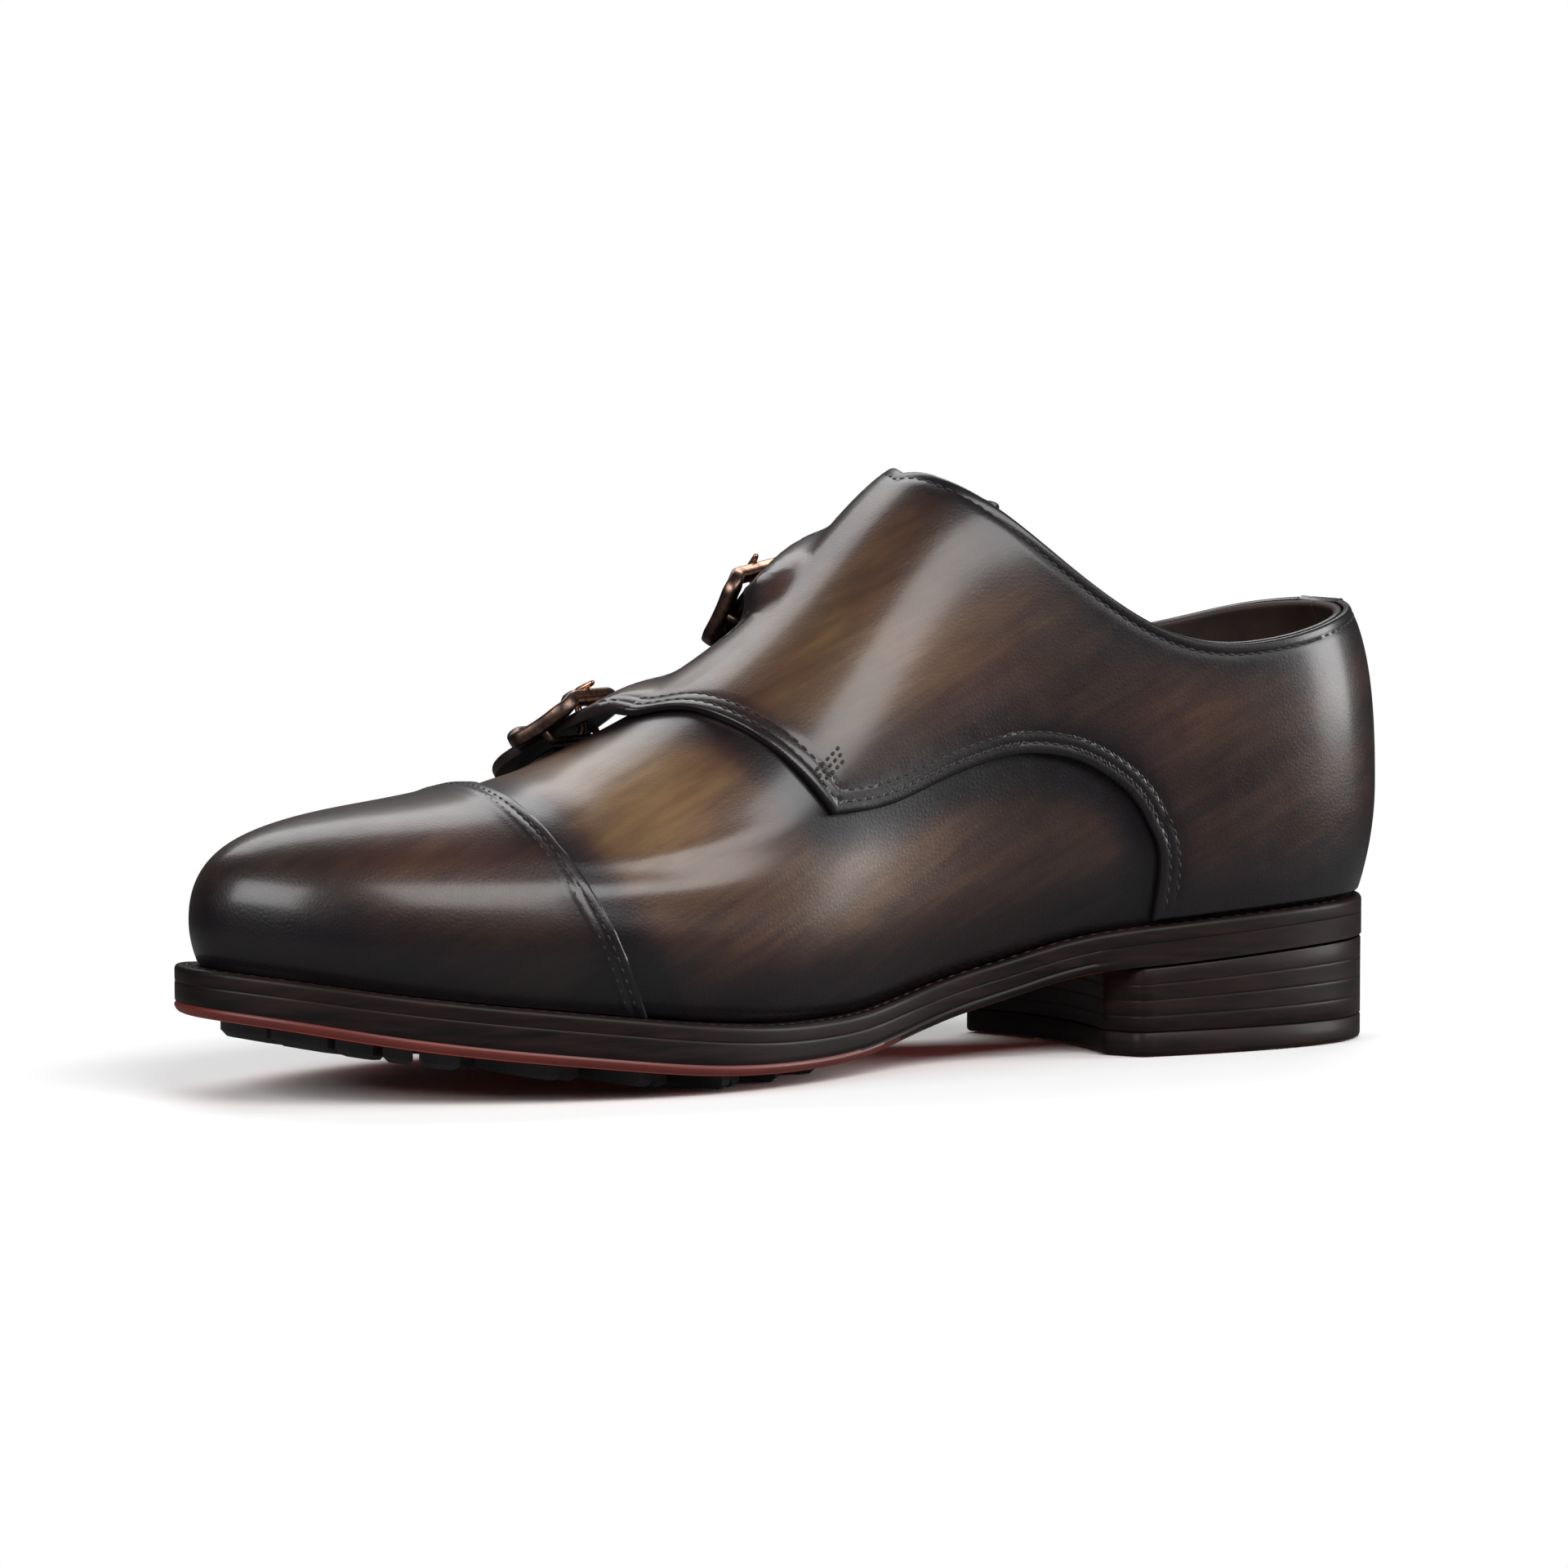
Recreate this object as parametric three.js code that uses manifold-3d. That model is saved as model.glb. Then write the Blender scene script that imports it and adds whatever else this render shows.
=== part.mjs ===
// Double monk strap shoe for the right foot, in millimetres, +X to the toe, +Y to the inner side, +Z up.
import * as THREE from "three";
import { mergeVertices } from "three/addons/utils/BufferGeometryUtils.js";
import Module from "manifold-3d";

const wasm = await Module();
wasm.setup();

// Driving dimensions
const soleLength = 302;
const ballWidth = 104;
const heelSeatHeight = 34;
const instepHeight = 134;
const weltThickness = 3.8;
const lugHeight = 3.7;
const topPieceThickness = 5.6;
const insoleThickness = 5.4;
const upperWall = 2.2;
const leatherThickness = 1.5;
const strapThickness = 2.4;
const tongueThickness = 2;
const backStripWidth = 20;
const buckleWidth = 28;
const buckleLength = 19;
const buckleWire = 2.6;
const seatGap = 0.35;
const overlayGap = 0.6;

// Sole outline, a row for each station: length share, inner half width share, outer half width share,
// and how far the upper's edge stays inside it on the inner and the outer side, in millimetres
const footprint = [
  { x: 0, inner: 0, outer: 0, insetInner: 3.4, insetOuter: 3.4 },
  { x: 0.015, inner: 0.159, outer: 0.159, insetInner: 3.4, insetOuter: 3.4 },
  { x: 0.06, inner: 0.279, outer: 0.284, insetInner: 3.4, insetOuter: 3.6 },
  { x: 0.149, inner: 0.327, outer: 0.332, insetInner: 3.4, insetOuter: 3.8 },
  { x: 0.258, inner: 0.308, outer: 0.332, insetInner: 3.2, insetOuter: 4.2 },
  { x: 0.364, inner: 0.269, outer: 0.327, insetInner: 2.8, insetOuter: 5 },
  { x: 0.464, inner: 0.303, outer: 0.361, insetInner: 3.2, insetOuter: 6 },
  { x: 0.563, inner: 0.421, outer: 0.438, insetInner: 5, insetOuter: 6.8 },
  { x: 0.662, inner: 0.486, outer: 0.51, insetInner: 6.4, insetOuter: 7 },
  { x: 0.755, inner: 0.476, outer: 0.514, insetInner: 7, insetOuter: 7 },
  { x: 0.844, inner: 0.406, outer: 0.442, insetInner: 7.2, insetOuter: 7.2 },
  { x: 0.924, inner: 0.298, outer: 0.317, insetInner: 7.2, insetOuter: 7.2 },
  { x: 0.98, inner: 0.149, outer: 0.163, insetInner: 7.2, insetOuter: 7.2 },
  { x: 1, inner: 0, outer: 0, insetInner: 7.2, insetOuter: 7.2 },
];

// Side of the sole: length share, height of the welt's top and sole thickness as shares of the heel seat
const soleSide = [
  { x: 0, top: 1, thick: 0.279 },
  { x: 0.07, top: 0.98, thick: 0.279 },
  { x: 0.15, top: 0.941, thick: 0.279 },
  { x: 0.225, top: 0.897, thick: 0.279 },
  { x: 0.31, top: 0.809, thick: 0.268 },
  { x: 0.355, top: 0.712, thick: 0.274 },
  { x: 0.405, top: 0.612, thick: 0.282 },
  { x: 0.45, top: 0.515, thick: 0.294 },
  { x: 0.49, top: 0.441, thick: 0.303 },
  { x: 0.536, top: 0.415, thick: 0.312 },
  { x: 0.58, top: 0.418, thick: 0.318 },
  { x: 0.646, top: 0.459, thick: 0.336 },
  { x: 0.732, top: 0.55, thick: 0.344 },
  { x: 0.831, top: 0.656, thick: 0.344 },
  { x: 0.904, top: 0.747, thick: 0.335 },
  { x: 0.957, top: 0.821, thick: 0.325 },
  { x: 1, top: 0.868, thick: 0.318 },
];

// Ridge of the upper: length share, height as a share of the instep height, sideways place in millimetres
const ridgeLine = [
  { x: 0.1, top: 0.88, side: 0 },
  { x: 0.2, top: 0.955, side: 1 },
  { x: 0.28, top: 1.015, side: 2 },
  { x: 0.33, top: 1.03, side: 2.5 },
  { x: 0.37, top: 1.022, side: 3 },
  { x: 0.4, top: 0.998, side: 3 },
  { x: 0.43, top: 0.944, side: 3 },
  { x: 0.483, top: 0.826, side: 3 },
  { x: 0.556, top: 0.694, side: 3 },
  { x: 0.613, top: 0.62, side: 2.5 },
  { x: 0.709, top: 0.524, side: 1.5 },
  { x: 0.772, top: 0.486, side: 1 },
  { x: 0.821, top: 0.468, side: 0.5 },
  { x: 0.877, top: 0.452, side: 0 },
  { x: 0.93, top: 0.43, side: 0 },
];

// Cross sections of the upper, one for each row of the footprint: where the section's top sits along the
// length, how far its widest point stands out on each side and above the edge in millimetres, and how full
// its side and its top are, as shares
const sections = [
  { ridge: 0.113, outInner: 4.6, outOuter: 4.6, rise: 26, side: 0.78, top: 0.72 },
  { ridge: 0.115, outInner: 4.4, outOuter: 4.4, rise: 26, side: 0.78, top: 0.74 },
  { ridge: 0.127, outInner: 3.8, outOuter: 3.8, rise: 25, side: 0.76, top: 0.8 },
  { ridge: 0.164, outInner: 3, outOuter: 3.2, rise: 24, side: 0.72, top: 0.88 },
  { ridge: 0.258, outInner: 4, outOuter: 3, rise: 23, side: 0.68, top: 0.9 },
  { ridge: 0.364, outInner: 7, outOuter: 3.4, rise: 24, side: 0.6, top: 0.8 },
  { ridge: 0.464, outInner: 8.5, outOuter: 4.2, rise: 23, side: 0.5, top: 0.66 },
  { ridge: 0.563, outInner: 6, outOuter: 4.6, rise: 19, side: 0.46, top: 0.58 },
  { ridge: 0.662, outInner: 3.6, outOuter: 4, rise: 16, side: 0.48, top: 0.58 },
  { ridge: 0.748, outInner: 2.6, outOuter: 2.8, rise: 14, side: 0.54, top: 0.6 },
  { ridge: 0.815, outInner: 2, outOuter: 2, rise: 12, side: 0.6, top: 0.62 },
  { ridge: 0.86, outInner: 2, outOuter: 2, rise: 10.5, side: 0.64, top: 0.62 },
  { ridge: 0.882, outInner: 2.2, outOuter: 2.2, rise: 10, side: 0.66, top: 0.62 },
  { ridge: 0.888, outInner: 2.4, outOuter: 2.4, rise: 10, side: 0.66, top: 0.62 },
];

// Collar line seen from the side: length share and height share of the instep
const collarLine = [
  { x: -0.02, top: 0.785 },
  { x: 0.02, top: 0.77 },
  { x: 0.08, top: 0.738 },
  { x: 0.14, top: 0.716 },
  { x: 0.19, top: 0.717 },
  { x: 0.23, top: 0.742 },
  { x: 0.27, top: 0.79 },
  { x: 0.31, top: 0.855 },
  { x: 0.345, top: 0.92 },
  { x: 0.38, top: 0.978 },
  { x: 0.42, top: 1.02 },
];

// Natural cubic curve through the points
function cubic(xs, ys) {
  const last = xs.length - 1;
  const step = xs.map((x, i) => (i < last ? xs[i + 1] - x : 0));
  const bend = xs.map(() => 0);
  const carry = xs.map(() => 0);
  const rest = xs.map(() => 0);
  for (let i = 1; i < last; i += 1) {
    const jump = (ys[i + 1] - ys[i]) / step[i] - (ys[i] - ys[i - 1]) / step[i - 1];
    const pivot = 2 * (step[i - 1] + step[i]) - step[i - 1] * carry[i - 1];
    carry[i] = step[i] / pivot;
    rest[i] = (6 * jump - step[i - 1] * rest[i - 1]) / pivot;
  }
  for (let i = last - 1; i > 0; i -= 1) {
    bend[i] = rest[i] - carry[i] * bend[i + 1];
  }
  return (x) => {
    let i = 0;
    while (i < last - 1 && x > xs[i + 1]) {
      i += 1;
    }
    const a = (xs[i + 1] - x) / step[i];
    const b = (x - xs[i]) / step[i];
    const curved = (a ** 3 - a) * bend[i] + (b ** 3 - b) * bend[i + 1];
    return a * ys[i] + b * ys[i + 1] + (curved * step[i] ** 2) / 6;
  };
}

// Curve over the row number that turns back with the given sign at the heel and at the toe
function rounded(values, sign) {
  const last = values.length - 1;
  const numbers = [];
  const heights = [];
  for (let row = -3; row <= last + 3; row += 1) {
    const mirrored = row < 0 ? -row : row > last ? 2 * last - row : row;
    numbers.push(row);
    heights.push(row === mirrored ? values[row] : sign * values[mirrored]);
  }
  return cubic(numbers, heights);
}

function column(table, name, unit) {
  return table.map((row) => row[name] * unit);
}

const rowCount = footprint.length - 1;
const outlineX = rounded(column(footprint, "x", soleLength), 1);
const halfWidth = {
  inner: rounded(column(footprint, "inner", ballWidth), -1),
  outer: rounded(column(footprint, "outer", ballWidth), -1),
};
const edgeInset = {
  inner: rounded(column(footprint, "insetInner", 1), 1),
  outer: rounded(column(footprint, "insetOuter", 1), 1),
};
const sideAlong = column(soleSide, "x", soleLength);
const weltTop = cubic(sideAlong, column(soleSide, "top", heelSeatHeight));
const soleThickness = cubic(sideAlong, column(soleSide, "thick", heelSeatHeight));
const ridgeAlong = column(ridgeLine, "x", soleLength);
const ridgeHeight = cubic(ridgeAlong, column(ridgeLine, "top", instepHeight));
const ridgeSide = cubic(ridgeAlong, column(ridgeLine, "side", 1));
const sectionRidge = rounded(column(sections, "ridge", soleLength), 1);
const sectionOut = {
  inner: rounded(column(sections, "outInner", 1), 1),
  outer: rounded(column(sections, "outOuter", 1), 1),
};
const sectionRise = rounded(column(sections, "rise", 1), 1);
const sectionSide = rounded(column(sections, "side", 1), 1);
const sectionTop = rounded(column(sections, "top", 1), 1);
const collarHeight = cubic(column(collarLine, "x", soleLength), column(collarLine, "top", instepHeight));

// Point of the sole outline at a row number, moved inward square to the outline
function outlinePoint(side, row, inset) {
  const mirror = side === "inner" ? 1 : -1;
  const step = 0.01;
  const slopeX = outlineX(row + step) - outlineX(row - step);
  const slopeY = halfWidth[side](row + step) - halfWidth[side](row - step);
  const length = Math.hypot(slopeX, slopeY);
  const x = outlineX(row) + (slopeY / length) * inset;
  const y = halfWidth[side](row) - (slopeX / length) * inset;
  return new THREE.Vector2(x, y * mirror);
}

function closedOutline(insetAt, count) {
  const points = [];
  for (let i = 0; i < count; i += 1) {
    const row = (i / count) * rowCount;
    points.push(outlinePoint("outer", row, insetAt("outer", row)));
  }
  for (let i = count; i > 0; i -= 1) {
    const row = (i / count) * rowCount;
    points.push(outlinePoint("inner", row, insetAt("inner", row)));
  }
  return points;
}

// Point on the outside of the upper. along runs from 0 at the heel to 1 at the toe, around from 1 at the
// inner edge over 0 at the ridge to -1 at the outer edge
const edgeShare = 0.18;
function upperPoint(along, around) {
  if (along < 0) {
    return upperPoint(-along, -around);
  }
  if (along > 1) {
    return upperPoint(2 - along, -around);
  }
  const side = around >= 0 ? "inner" : "outer";
  const up = 1 - Math.min(Math.abs(around), 1);
  const row = along * rowCount;
  const edge = outlinePoint(side, row, edgeInset[side](row));
  const ridgeX = sectionRidge(row);
  const ridgeY = ridgeSide(ridgeX);
  const reach = Math.hypot(edge.x - ridgeX, edge.y - ridgeY);
  const heading = { x: (edge.x - ridgeX) / reach, y: (edge.y - ridgeY) / reach };
  const low = weltTop(edge.x) + seatGap;
  const wide = reach + sectionOut[side](row);
  const wideHeight = low + sectionRise(row);
  const top = ridgeHeight(ridgeX);
  let out;
  let height;
  if (up < edgeShare) {
    const part = up / edgeShare;
    const swing = 1 - (1 - part) ** 2;
    out = reach + (wide - reach) * swing;
    height = low + (wideHeight - low) * part;
  } else {
    const part = (up - edgeShare) / (1 - edgeShare);
    const back = 1 - part;
    const slope = (ridgeHeight(ridgeX + 1) - ridgeHeight(ridgeX - 1)) / 2;
    const shoulder = sectionTop(row) * wide;
    const shoulderHeight = top + slope * heading.x * shoulder;
    const sideHeight = wideHeight + sectionSide(row) * (top - wideHeight);
    const start = back ** 3 + 3 * back ** 2 * part;
    const near = 3 * back * part ** 2;
    out = start * wide + near * shoulder;
    height = back ** 3 * wideHeight + 3 * back ** 2 * part * sideHeight;
    height += near * shoulderHeight + part ** 3 * top;
  }
  return new THREE.Vector3(ridgeX + heading.x * out, ridgeY + heading.y * out, height);
}

// Direction square to the upper's outside
function upperNormal(along, around) {
  const step = 0.004;
  if (Math.abs(around) < 0.02) {
    const x = sectionRidge(Math.min(Math.abs(along), 1) * rowCount);
    return new THREE.Vector3(ridgeHeight(x - 1) - ridgeHeight(x + 1), 0, 2).normalize();
  }
  const ahead = upperPoint(along + step, around).sub(upperPoint(along - step, around));
  const low = Math.max(around - step, -1);
  const high = Math.min(around + step, 1);
  const across = upperPoint(along, high).sub(upperPoint(along, low));
  const normal = ahead.cross(across);
  if (Math.abs(around) > 1 - 1e-6) {
    normal.z = 0;
  }
  return normal.normalize();
}

function offsetPoint(along, around, distance) {
  return upperPoint(along, around).addScaledVector(upperNormal(along, around), distance);
}

// Where the collar line crosses the section: the around value, or 0 in front of the throat
function collarAround(along) {
  let low = 0;
  let high = 1 - edgeShare;
  const above = (around) => {
    const point = upperPoint(along, around);
    return point.z - collarHeight(point.x);
  };
  if (above(0) <= 0) {
    return 0;
  }
  for (let i = 0; i < 40; i += 1) {
    const middle = (low + high) / 2;
    if (above(middle) > 0) {
      low = middle;
    } else {
      high = middle;
    }
  }
  return high;
}

function findThroat() {
  let low = 0.2;
  let high = 0.6;
  for (let i = 0; i < 40; i += 1) {
    const middle = (low + high) / 2;
    if (collarAround(middle) > 0) {
      low = middle;
    } else {
      high = middle;
    }
  }
  return high;
}
const throat = findThroat();

// Solid made of a geometry with shared corners
function toSolid(geometry) {
  geometry.deleteAttribute("normal");
  geometry.deleteAttribute("uv");
  const merged = mergeVertices(geometry, 1e-4);
  const triVerts = Uint32Array.from(merged.index.array);
  const vertProperties = merged.attributes.position.array;
  return new wasm.Manifold(new wasm.Mesh({ numProp: 3, vertProperties, triVerts }));
}

function fromSolid(solid) {
  const mesh = solid.getMesh();
  const geometry = new THREE.BufferGeometry();
  geometry.setAttribute("position", new THREE.BufferAttribute(Float32Array.from(mesh.vertProperties), 3));
  geometry.setIndex(Array.from(mesh.triVerts));
  return geometry;
}

function prism(points, low, high, hole) {
  const shape = new THREE.Shape(points);
  if (hole) {
    shape.holes.push(new THREE.Path(hole));
  }
  const geometry = new THREE.ExtrudeGeometry(shape, { depth: high - low, bevelEnabled: false });
  geometry.translate(0, 0, low);
  return toSolid(geometry);
}

// Layer between two heights that vary along the shoe
function layer(lowAt, highAt, start, end, count) {
  const points = [];
  for (let i = 0; i <= count; i += 1) {
    const x = start + ((end - start) * i) / count;
    points.push(new THREE.Vector2(x, highAt(x)));
  }
  for (let i = count; i >= 0; i -= 1) {
    const x = start + ((end - start) * i) / count;
    points.push(new THREE.Vector2(x, lowAt(x)));
  }
  const shape = new THREE.Shape(points);
  const geometry = new THREE.ExtrudeGeometry(shape, { depth: 2 * ballWidth, bevelEnabled: false });
  geometry.rotateX(Math.PI / 2);
  geometry.translate(0, ballWidth, 0);
  return toSolid(geometry);
}

// Closed wall between two distances from the upper's outside, over a grid of along and around values
function wall(patches, near, far) {
  const places = new Map();
  const inside = [];
  const outside = [];
  const faces = [];
  const place = ([along, around]) => {
    const base = upperPoint(along, around);
    const key = [base.x, base.y, base.z].map((value) => Math.round(value * 500)).join(",");
    if (!places.has(key)) {
      places.set(key, inside.length);
      inside.push(offsetPoint(along, around, near));
      outside.push(offsetPoint(along, around, far));
    }
    return places.get(key);
  };
  for (const patch of patches) {
    for (let i = 0; i + 1 < patch.grid.length; i += 1) {
      for (let j = 0; j + 1 < patch.grid[i].length; j += 1) {
        const a = place(patch.grid[i][j]);
        const b = place(patch.grid[i + 1][j]);
        const c = place(patch.grid[i + 1][j + 1]);
        const d = place(patch.grid[i][j + 1]);
        const corners = patch.turned ? [a, d, c, b] : [a, b, c, d];
        faces.push([corners[0], corners[1], corners[2]], [corners[0], corners[2], corners[3]]);
      }
    }
  }
  const kept = faces.filter((face) => new Set(face).size === 3);
  const edges = new Set(kept.flatMap(([a, b, c]) => [`${a},${b}`, `${b},${c}`, `${c},${a}`]));
  const count = inside.length;
  const index = [];
  for (const [a, b, c] of kept) {
    index.push(a + count, b + count, c + count, a, c, b);
    for (const [from, to] of [[a, b], [b, c], [c, a]]) {
      if (!edges.has(`${to},${from}`)) {
        index.push(from, to, to + count, from, to + count, from + count);
      }
    }
  }
  const geometry = new THREE.BufferGeometry();
  const position = [...inside, ...outside].flatMap((point) => [point.x, point.y, point.z]);
  geometry.setAttribute("position", new THREE.Float32BufferAttribute(position, 3));
  geometry.setIndex(index);
  return geometry;
}

// Leather piece cut from flat patterns in millimetres and laid on the upper
const patternScale = { along: 390, around: 95 };
const patternBow = 1e-4;
const patternCell = 8.5;
function flatPoint([along, around]) {
  return new THREE.Vector2(along * patternScale.along, around * patternScale.around);
}

function flatSlab(low, high, bow) {
  const size = high.clone().sub(low);
  const count = { x: Math.ceil(size.x / patternCell), y: Math.ceil(size.y / patternCell) };
  const position = [];
  const index = [];
  const corner = (i, j, level) => (i * (count.y + 1) + j) * 2 + level;
  const quad = (a, b, c, d) => index.push(a, b, c, a, c, d);
  for (let i = 0; i <= count.x; i += 1) {
    for (let j = 0; j <= count.y; j += 1) {
      const u = low.x + ((high.x - low.x) * i) / count.x;
      const v = low.y + ((high.y - low.y) * j) / count.y;
      position.push(u, v, bow(u, v), u, v, bow(u, v) + 1);
    }
  }
  for (let i = 0; i < count.x; i += 1) {
    for (let j = 0; j < count.y; j += 1) {
      quad(corner(i, j, 1), corner(i + 1, j, 1), corner(i + 1, j + 1, 1), corner(i, j + 1, 1));
      quad(corner(i, j, 0), corner(i, j + 1, 0), corner(i + 1, j + 1, 0), corner(i + 1, j, 0));
    }
  }
  const { x, y } = count;
  for (let i = 0; i < x; i += 1) {
    quad(corner(i, 0, 0), corner(i + 1, 0, 0), corner(i + 1, 0, 1), corner(i, 0, 1));
    quad(corner(i + 1, y, 0), corner(i, y, 0), corner(i, y, 1), corner(i + 1, y, 1));
  }
  for (let j = 0; j < y; j += 1) {
    quad(corner(0, j + 1, 0), corner(0, j, 0), corner(0, j, 1), corner(0, j + 1, 1));
    quad(corner(x, j, 0), corner(x, j + 1, 0), corner(x, j + 1, 1), corner(x, j, 1));
  }
  const triVerts = Uint32Array.from(index);
  const vertProperties = Float32Array.from(position);
  return new wasm.Manifold(new wasm.Mesh({ numProp: 3, vertProperties, triVerts }));
}

function leatherPiece(patterns, holes, near, far) {
  const box = new THREE.Box2().setFromPoints(patterns.flat());
  const margin = 1;
  const bow = (u, v) => patternBow * (u * u + v * v + u * v);
  const slab = flatSlab(box.min.clone().subScalar(margin), box.max.clone().addScalar(margin), bow);
  const deep = 40;
  let cutter = prism(patterns[0], -deep, deep);
  for (const pattern of patterns.slice(1)) {
    cutter = cutter.add(prism(pattern, -deep, deep));
  }
  for (const hole of holes) {
    cutter = cutter.subtract(prism(hole, -2 * deep, 2 * deep));
  }
  const geometry = fromSolid(slab.intersect(cutter));
  const attribute = geometry.attributes.position;
  for (let i = 0; i < attribute.count; i += 1) {
    const u = attribute.getX(i);
    const v = attribute.getY(i);
    const along = u / patternScale.along;
    const around = v / patternScale.around;
    const distance = attribute.getZ(i) - bow(u, v) > 0.5 ? far(along, around) : near(along, around);
    const point = offsetPoint(along, around, distance);
    attribute.setXYZ(i, point.x, point.y, point.z);
  }
  return geometry;
}

// Smooth curve through along and around values
function smoothEdge(points, count) {
  const places = points.map((point) => flatPoint(point));
  const corners = places.map((point) => new THREE.Vector3(point.x, point.y, 0));
  const curve = new THREE.CatmullRomCurve3(corners, false, "centripetal");
  return curve.getSpacedPoints(count).map((point) => new THREE.Vector2(point.x, point.y));
}

const shoe = new THREE.Group();
function addPiece(name, geometry, colour, roughness, metalness) {
  const material = new THREE.MeshStandardMaterial({ color: colour, roughness, metalness: metalness ?? 0 });
  const mesh = new THREE.Mesh(geometry, material);
  mesh.name = name;
  shoe.add(mesh);
  return mesh;
}
const colours = {
  leather: 0x3a2218,
  edge: 0x1c1210,
  red: 0xa8331f,
  rubber: 0x161616,
  metal: 0x6e4a36,
  lining: 0x2c1d18,
};

// Sole
const soleBottom = (x) => weltTop(x) - soleThickness(x);
const outsoleTop = (x) => weltTop(x) - weltThickness;
const soleOutline = closedOutline(() => 0, 38);
const soleStart = -5;
const soleEnd = soleLength + 5;
const soleSteps = 32;
function soleLayer(lowAt, highAt) {
  return layer(lowAt, highAt, soleStart, soleEnd, soleSteps);
}
const outsole = prism(soleOutline, -1, 60).intersect(soleLayer(soleBottom, outsoleTop));
addPiece("outsole", fromSolid(outsole), colours.red, 0.5);
const weltInner = closedOutline((side, row) => edgeInset[side](row) + upperWall + 0.2, 38);
const welt = prism(soleOutline, -1, 60, weltInner).intersect(soleLayer((x) => outsoleTop(x) + 0.02, weltTop));
addPiece("welt", fromSolid(welt), colours.edge, 0.5);
const insoleOutline = closedOutline((side, row) => edgeInset[side](row) + upperWall + 0.8, 38);
const insoleTop = (x) => outsoleTop(x) + insoleThickness;
const insole = prism(insoleOutline, -1, 60).intersect(soleLayer((x) => outsoleTop(x) + seatGap, insoleTop));
addPiece("insole", fromSolid(insole), colours.lining, 0.6);

// Heel
const breastMiddle = 0.255 * soleLength;
const breastDepth = 7;
const breastCorner = 8;
function heelOutline(inset) {
  const points = [];
  const steps = 18;
  const reach = breastMiddle + breastDepth;
  const place = (side, row) => outlinePoint(side, row, inset);
  let lastRow = 2;
  while (place("inner", lastRow).x < reach) {
    lastRow += 0.01;
  }
  const cornerInner = place("inner", lastRow);
  const cornerOuter = place("outer", lastRow);
  for (let i = 0; i <= steps; i += 1) {
    const point = place("inner", (lastRow * i) / steps);
    if (point.x < reach - breastCorner) {
      points.push(point);
    }
  }
  points.push(new THREE.Vector2(reach - breastCorner, cornerInner.y));
  for (let i = 0; i <= steps; i += 1) {
    const part = i / steps;
    const y = cornerInner.y - breastCorner + (cornerOuter.y - cornerInner.y + breastCorner) * part;
    const share = (2 * y) / (cornerInner.y - cornerOuter.y);
    points.push(new THREE.Vector2(breastMiddle + breastDepth * Math.min(share * share, 1), y));
  }
  for (let i = steps; i > 0; i -= 1) {
    points.push(place("outer", (lastRow * (i - 0.5)) / steps));
  }
  return points;
}
const heelShape = heelOutline(0.4);
const heelTop = layer(() => topPieceThickness + 0.02, (x) => soleBottom(x) - seatGap, soleStart, 110, 16);
addPiece("heel_stack", fromSolid(prism(heelShape, 0, 60).intersect(heelTop)), colours.edge, 0.4);

const tipStart = new THREE.Vector2(0.16 * soleLength, -0.4 * ballWidth);
const tipEnd = new THREE.Vector2(0.012 * soleLength, 0.26 * ballWidth);
function tipSide(shift, grow) {
  const along = tipEnd.clone().sub(tipStart).normalize();
  const across = new THREE.Vector2(along.y, -along.x);
  const base = tipStart.clone().addScaledVector(across, shift).addScaledVector(along, -60);
  const far = base.clone().addScaledVector(along, 240);
  return [base, far, far.clone().addScaledVector(across, grow), base.clone().addScaledVector(across, grow)];
}
const heelBase = prism(heelShape, 0, topPieceThickness);
const rubberTip = heelBase.intersect(prism(tipSide(0, -200), -1, 20));
const topLeather = heelBase.intersect(prism(tipSide(seatGap, 200), -1, 20));
addPiece("heel_rubber_tip", fromSolid(rubberTip), colours.rubber, 0.7);
addPiece("heel_top_leather", fromSolid(topLeather), colours.red, 0.5);

// Rubber lugs under the forefoot
const treadLow = (x) => Math.max(soleBottom(x) - lugHeight, 0);
const tread = layer(treadLow, (x) => soleBottom(x) - seatGap, 120, soleEnd, 44);
function addLug(name, points) {
  addPiece(name, fromSolid(prism(points, -1, 60).intersect(tread)), colours.rubber, 0.7);
}
// Side lugs: centre as shares of length and ball width, size in millimetres, turn in degrees
const sideLugs = [
  { name: "lug_outer_1", x: 0.858, y: -0.106, long: 29, wide: 10, turn: -42 },
  { name: "lug_outer_2", x: 0.812, y: -0.182, long: 27, wide: 10.5, turn: -50 },
  { name: "lug_outer_3", x: 0.757, y: -0.242, long: 27, wide: 12.5, turn: -58 },
  { name: "lug_outer_4", x: 0.685, y: -0.268, long: 25.5, wide: 14, turn: -73 },
  { name: "lug_outer_5", x: 0.604, y: -0.264, long: 24, wide: 18, turn: -90 },
  { name: "lug_inner_1", x: 0.775, y: 0.292, long: 21, wide: 11, turn: 115 },
  { name: "lug_inner_2", x: 0.707, y: 0.303, long: 22, wide: 12, turn: 122 },
  { name: "lug_inner_3", x: 0.646, y: 0.284, long: 24, wide: 11.5, turn: 132 },
  { name: "lug_inner_4", x: 0.599, y: 0.212, long: 26.5, wide: 10.5, turn: 143 },
  { name: "lug_inner_5", x: 0.549, y: 0.109, long: 27.5, wide: 12.5, turn: 146 },
];
for (const lug of sideLugs) {
  const turn = (lug.turn * Math.PI) / 180;
  const centre = new THREE.Vector2(lug.x * soleLength, lug.y * ballWidth);
  const corners = [[-1, -0.42], [1, -0.5], [1, 0.5], [-1, 0.42]].map(([a, b]) => {
    const point = new THREE.Vector2((a * lug.long) / 2, b * lug.wide);
    return point.rotateAround(new THREE.Vector2(0, 0), turn).add(centre);
  });
  addLug(lug.name, corners);
}
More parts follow.
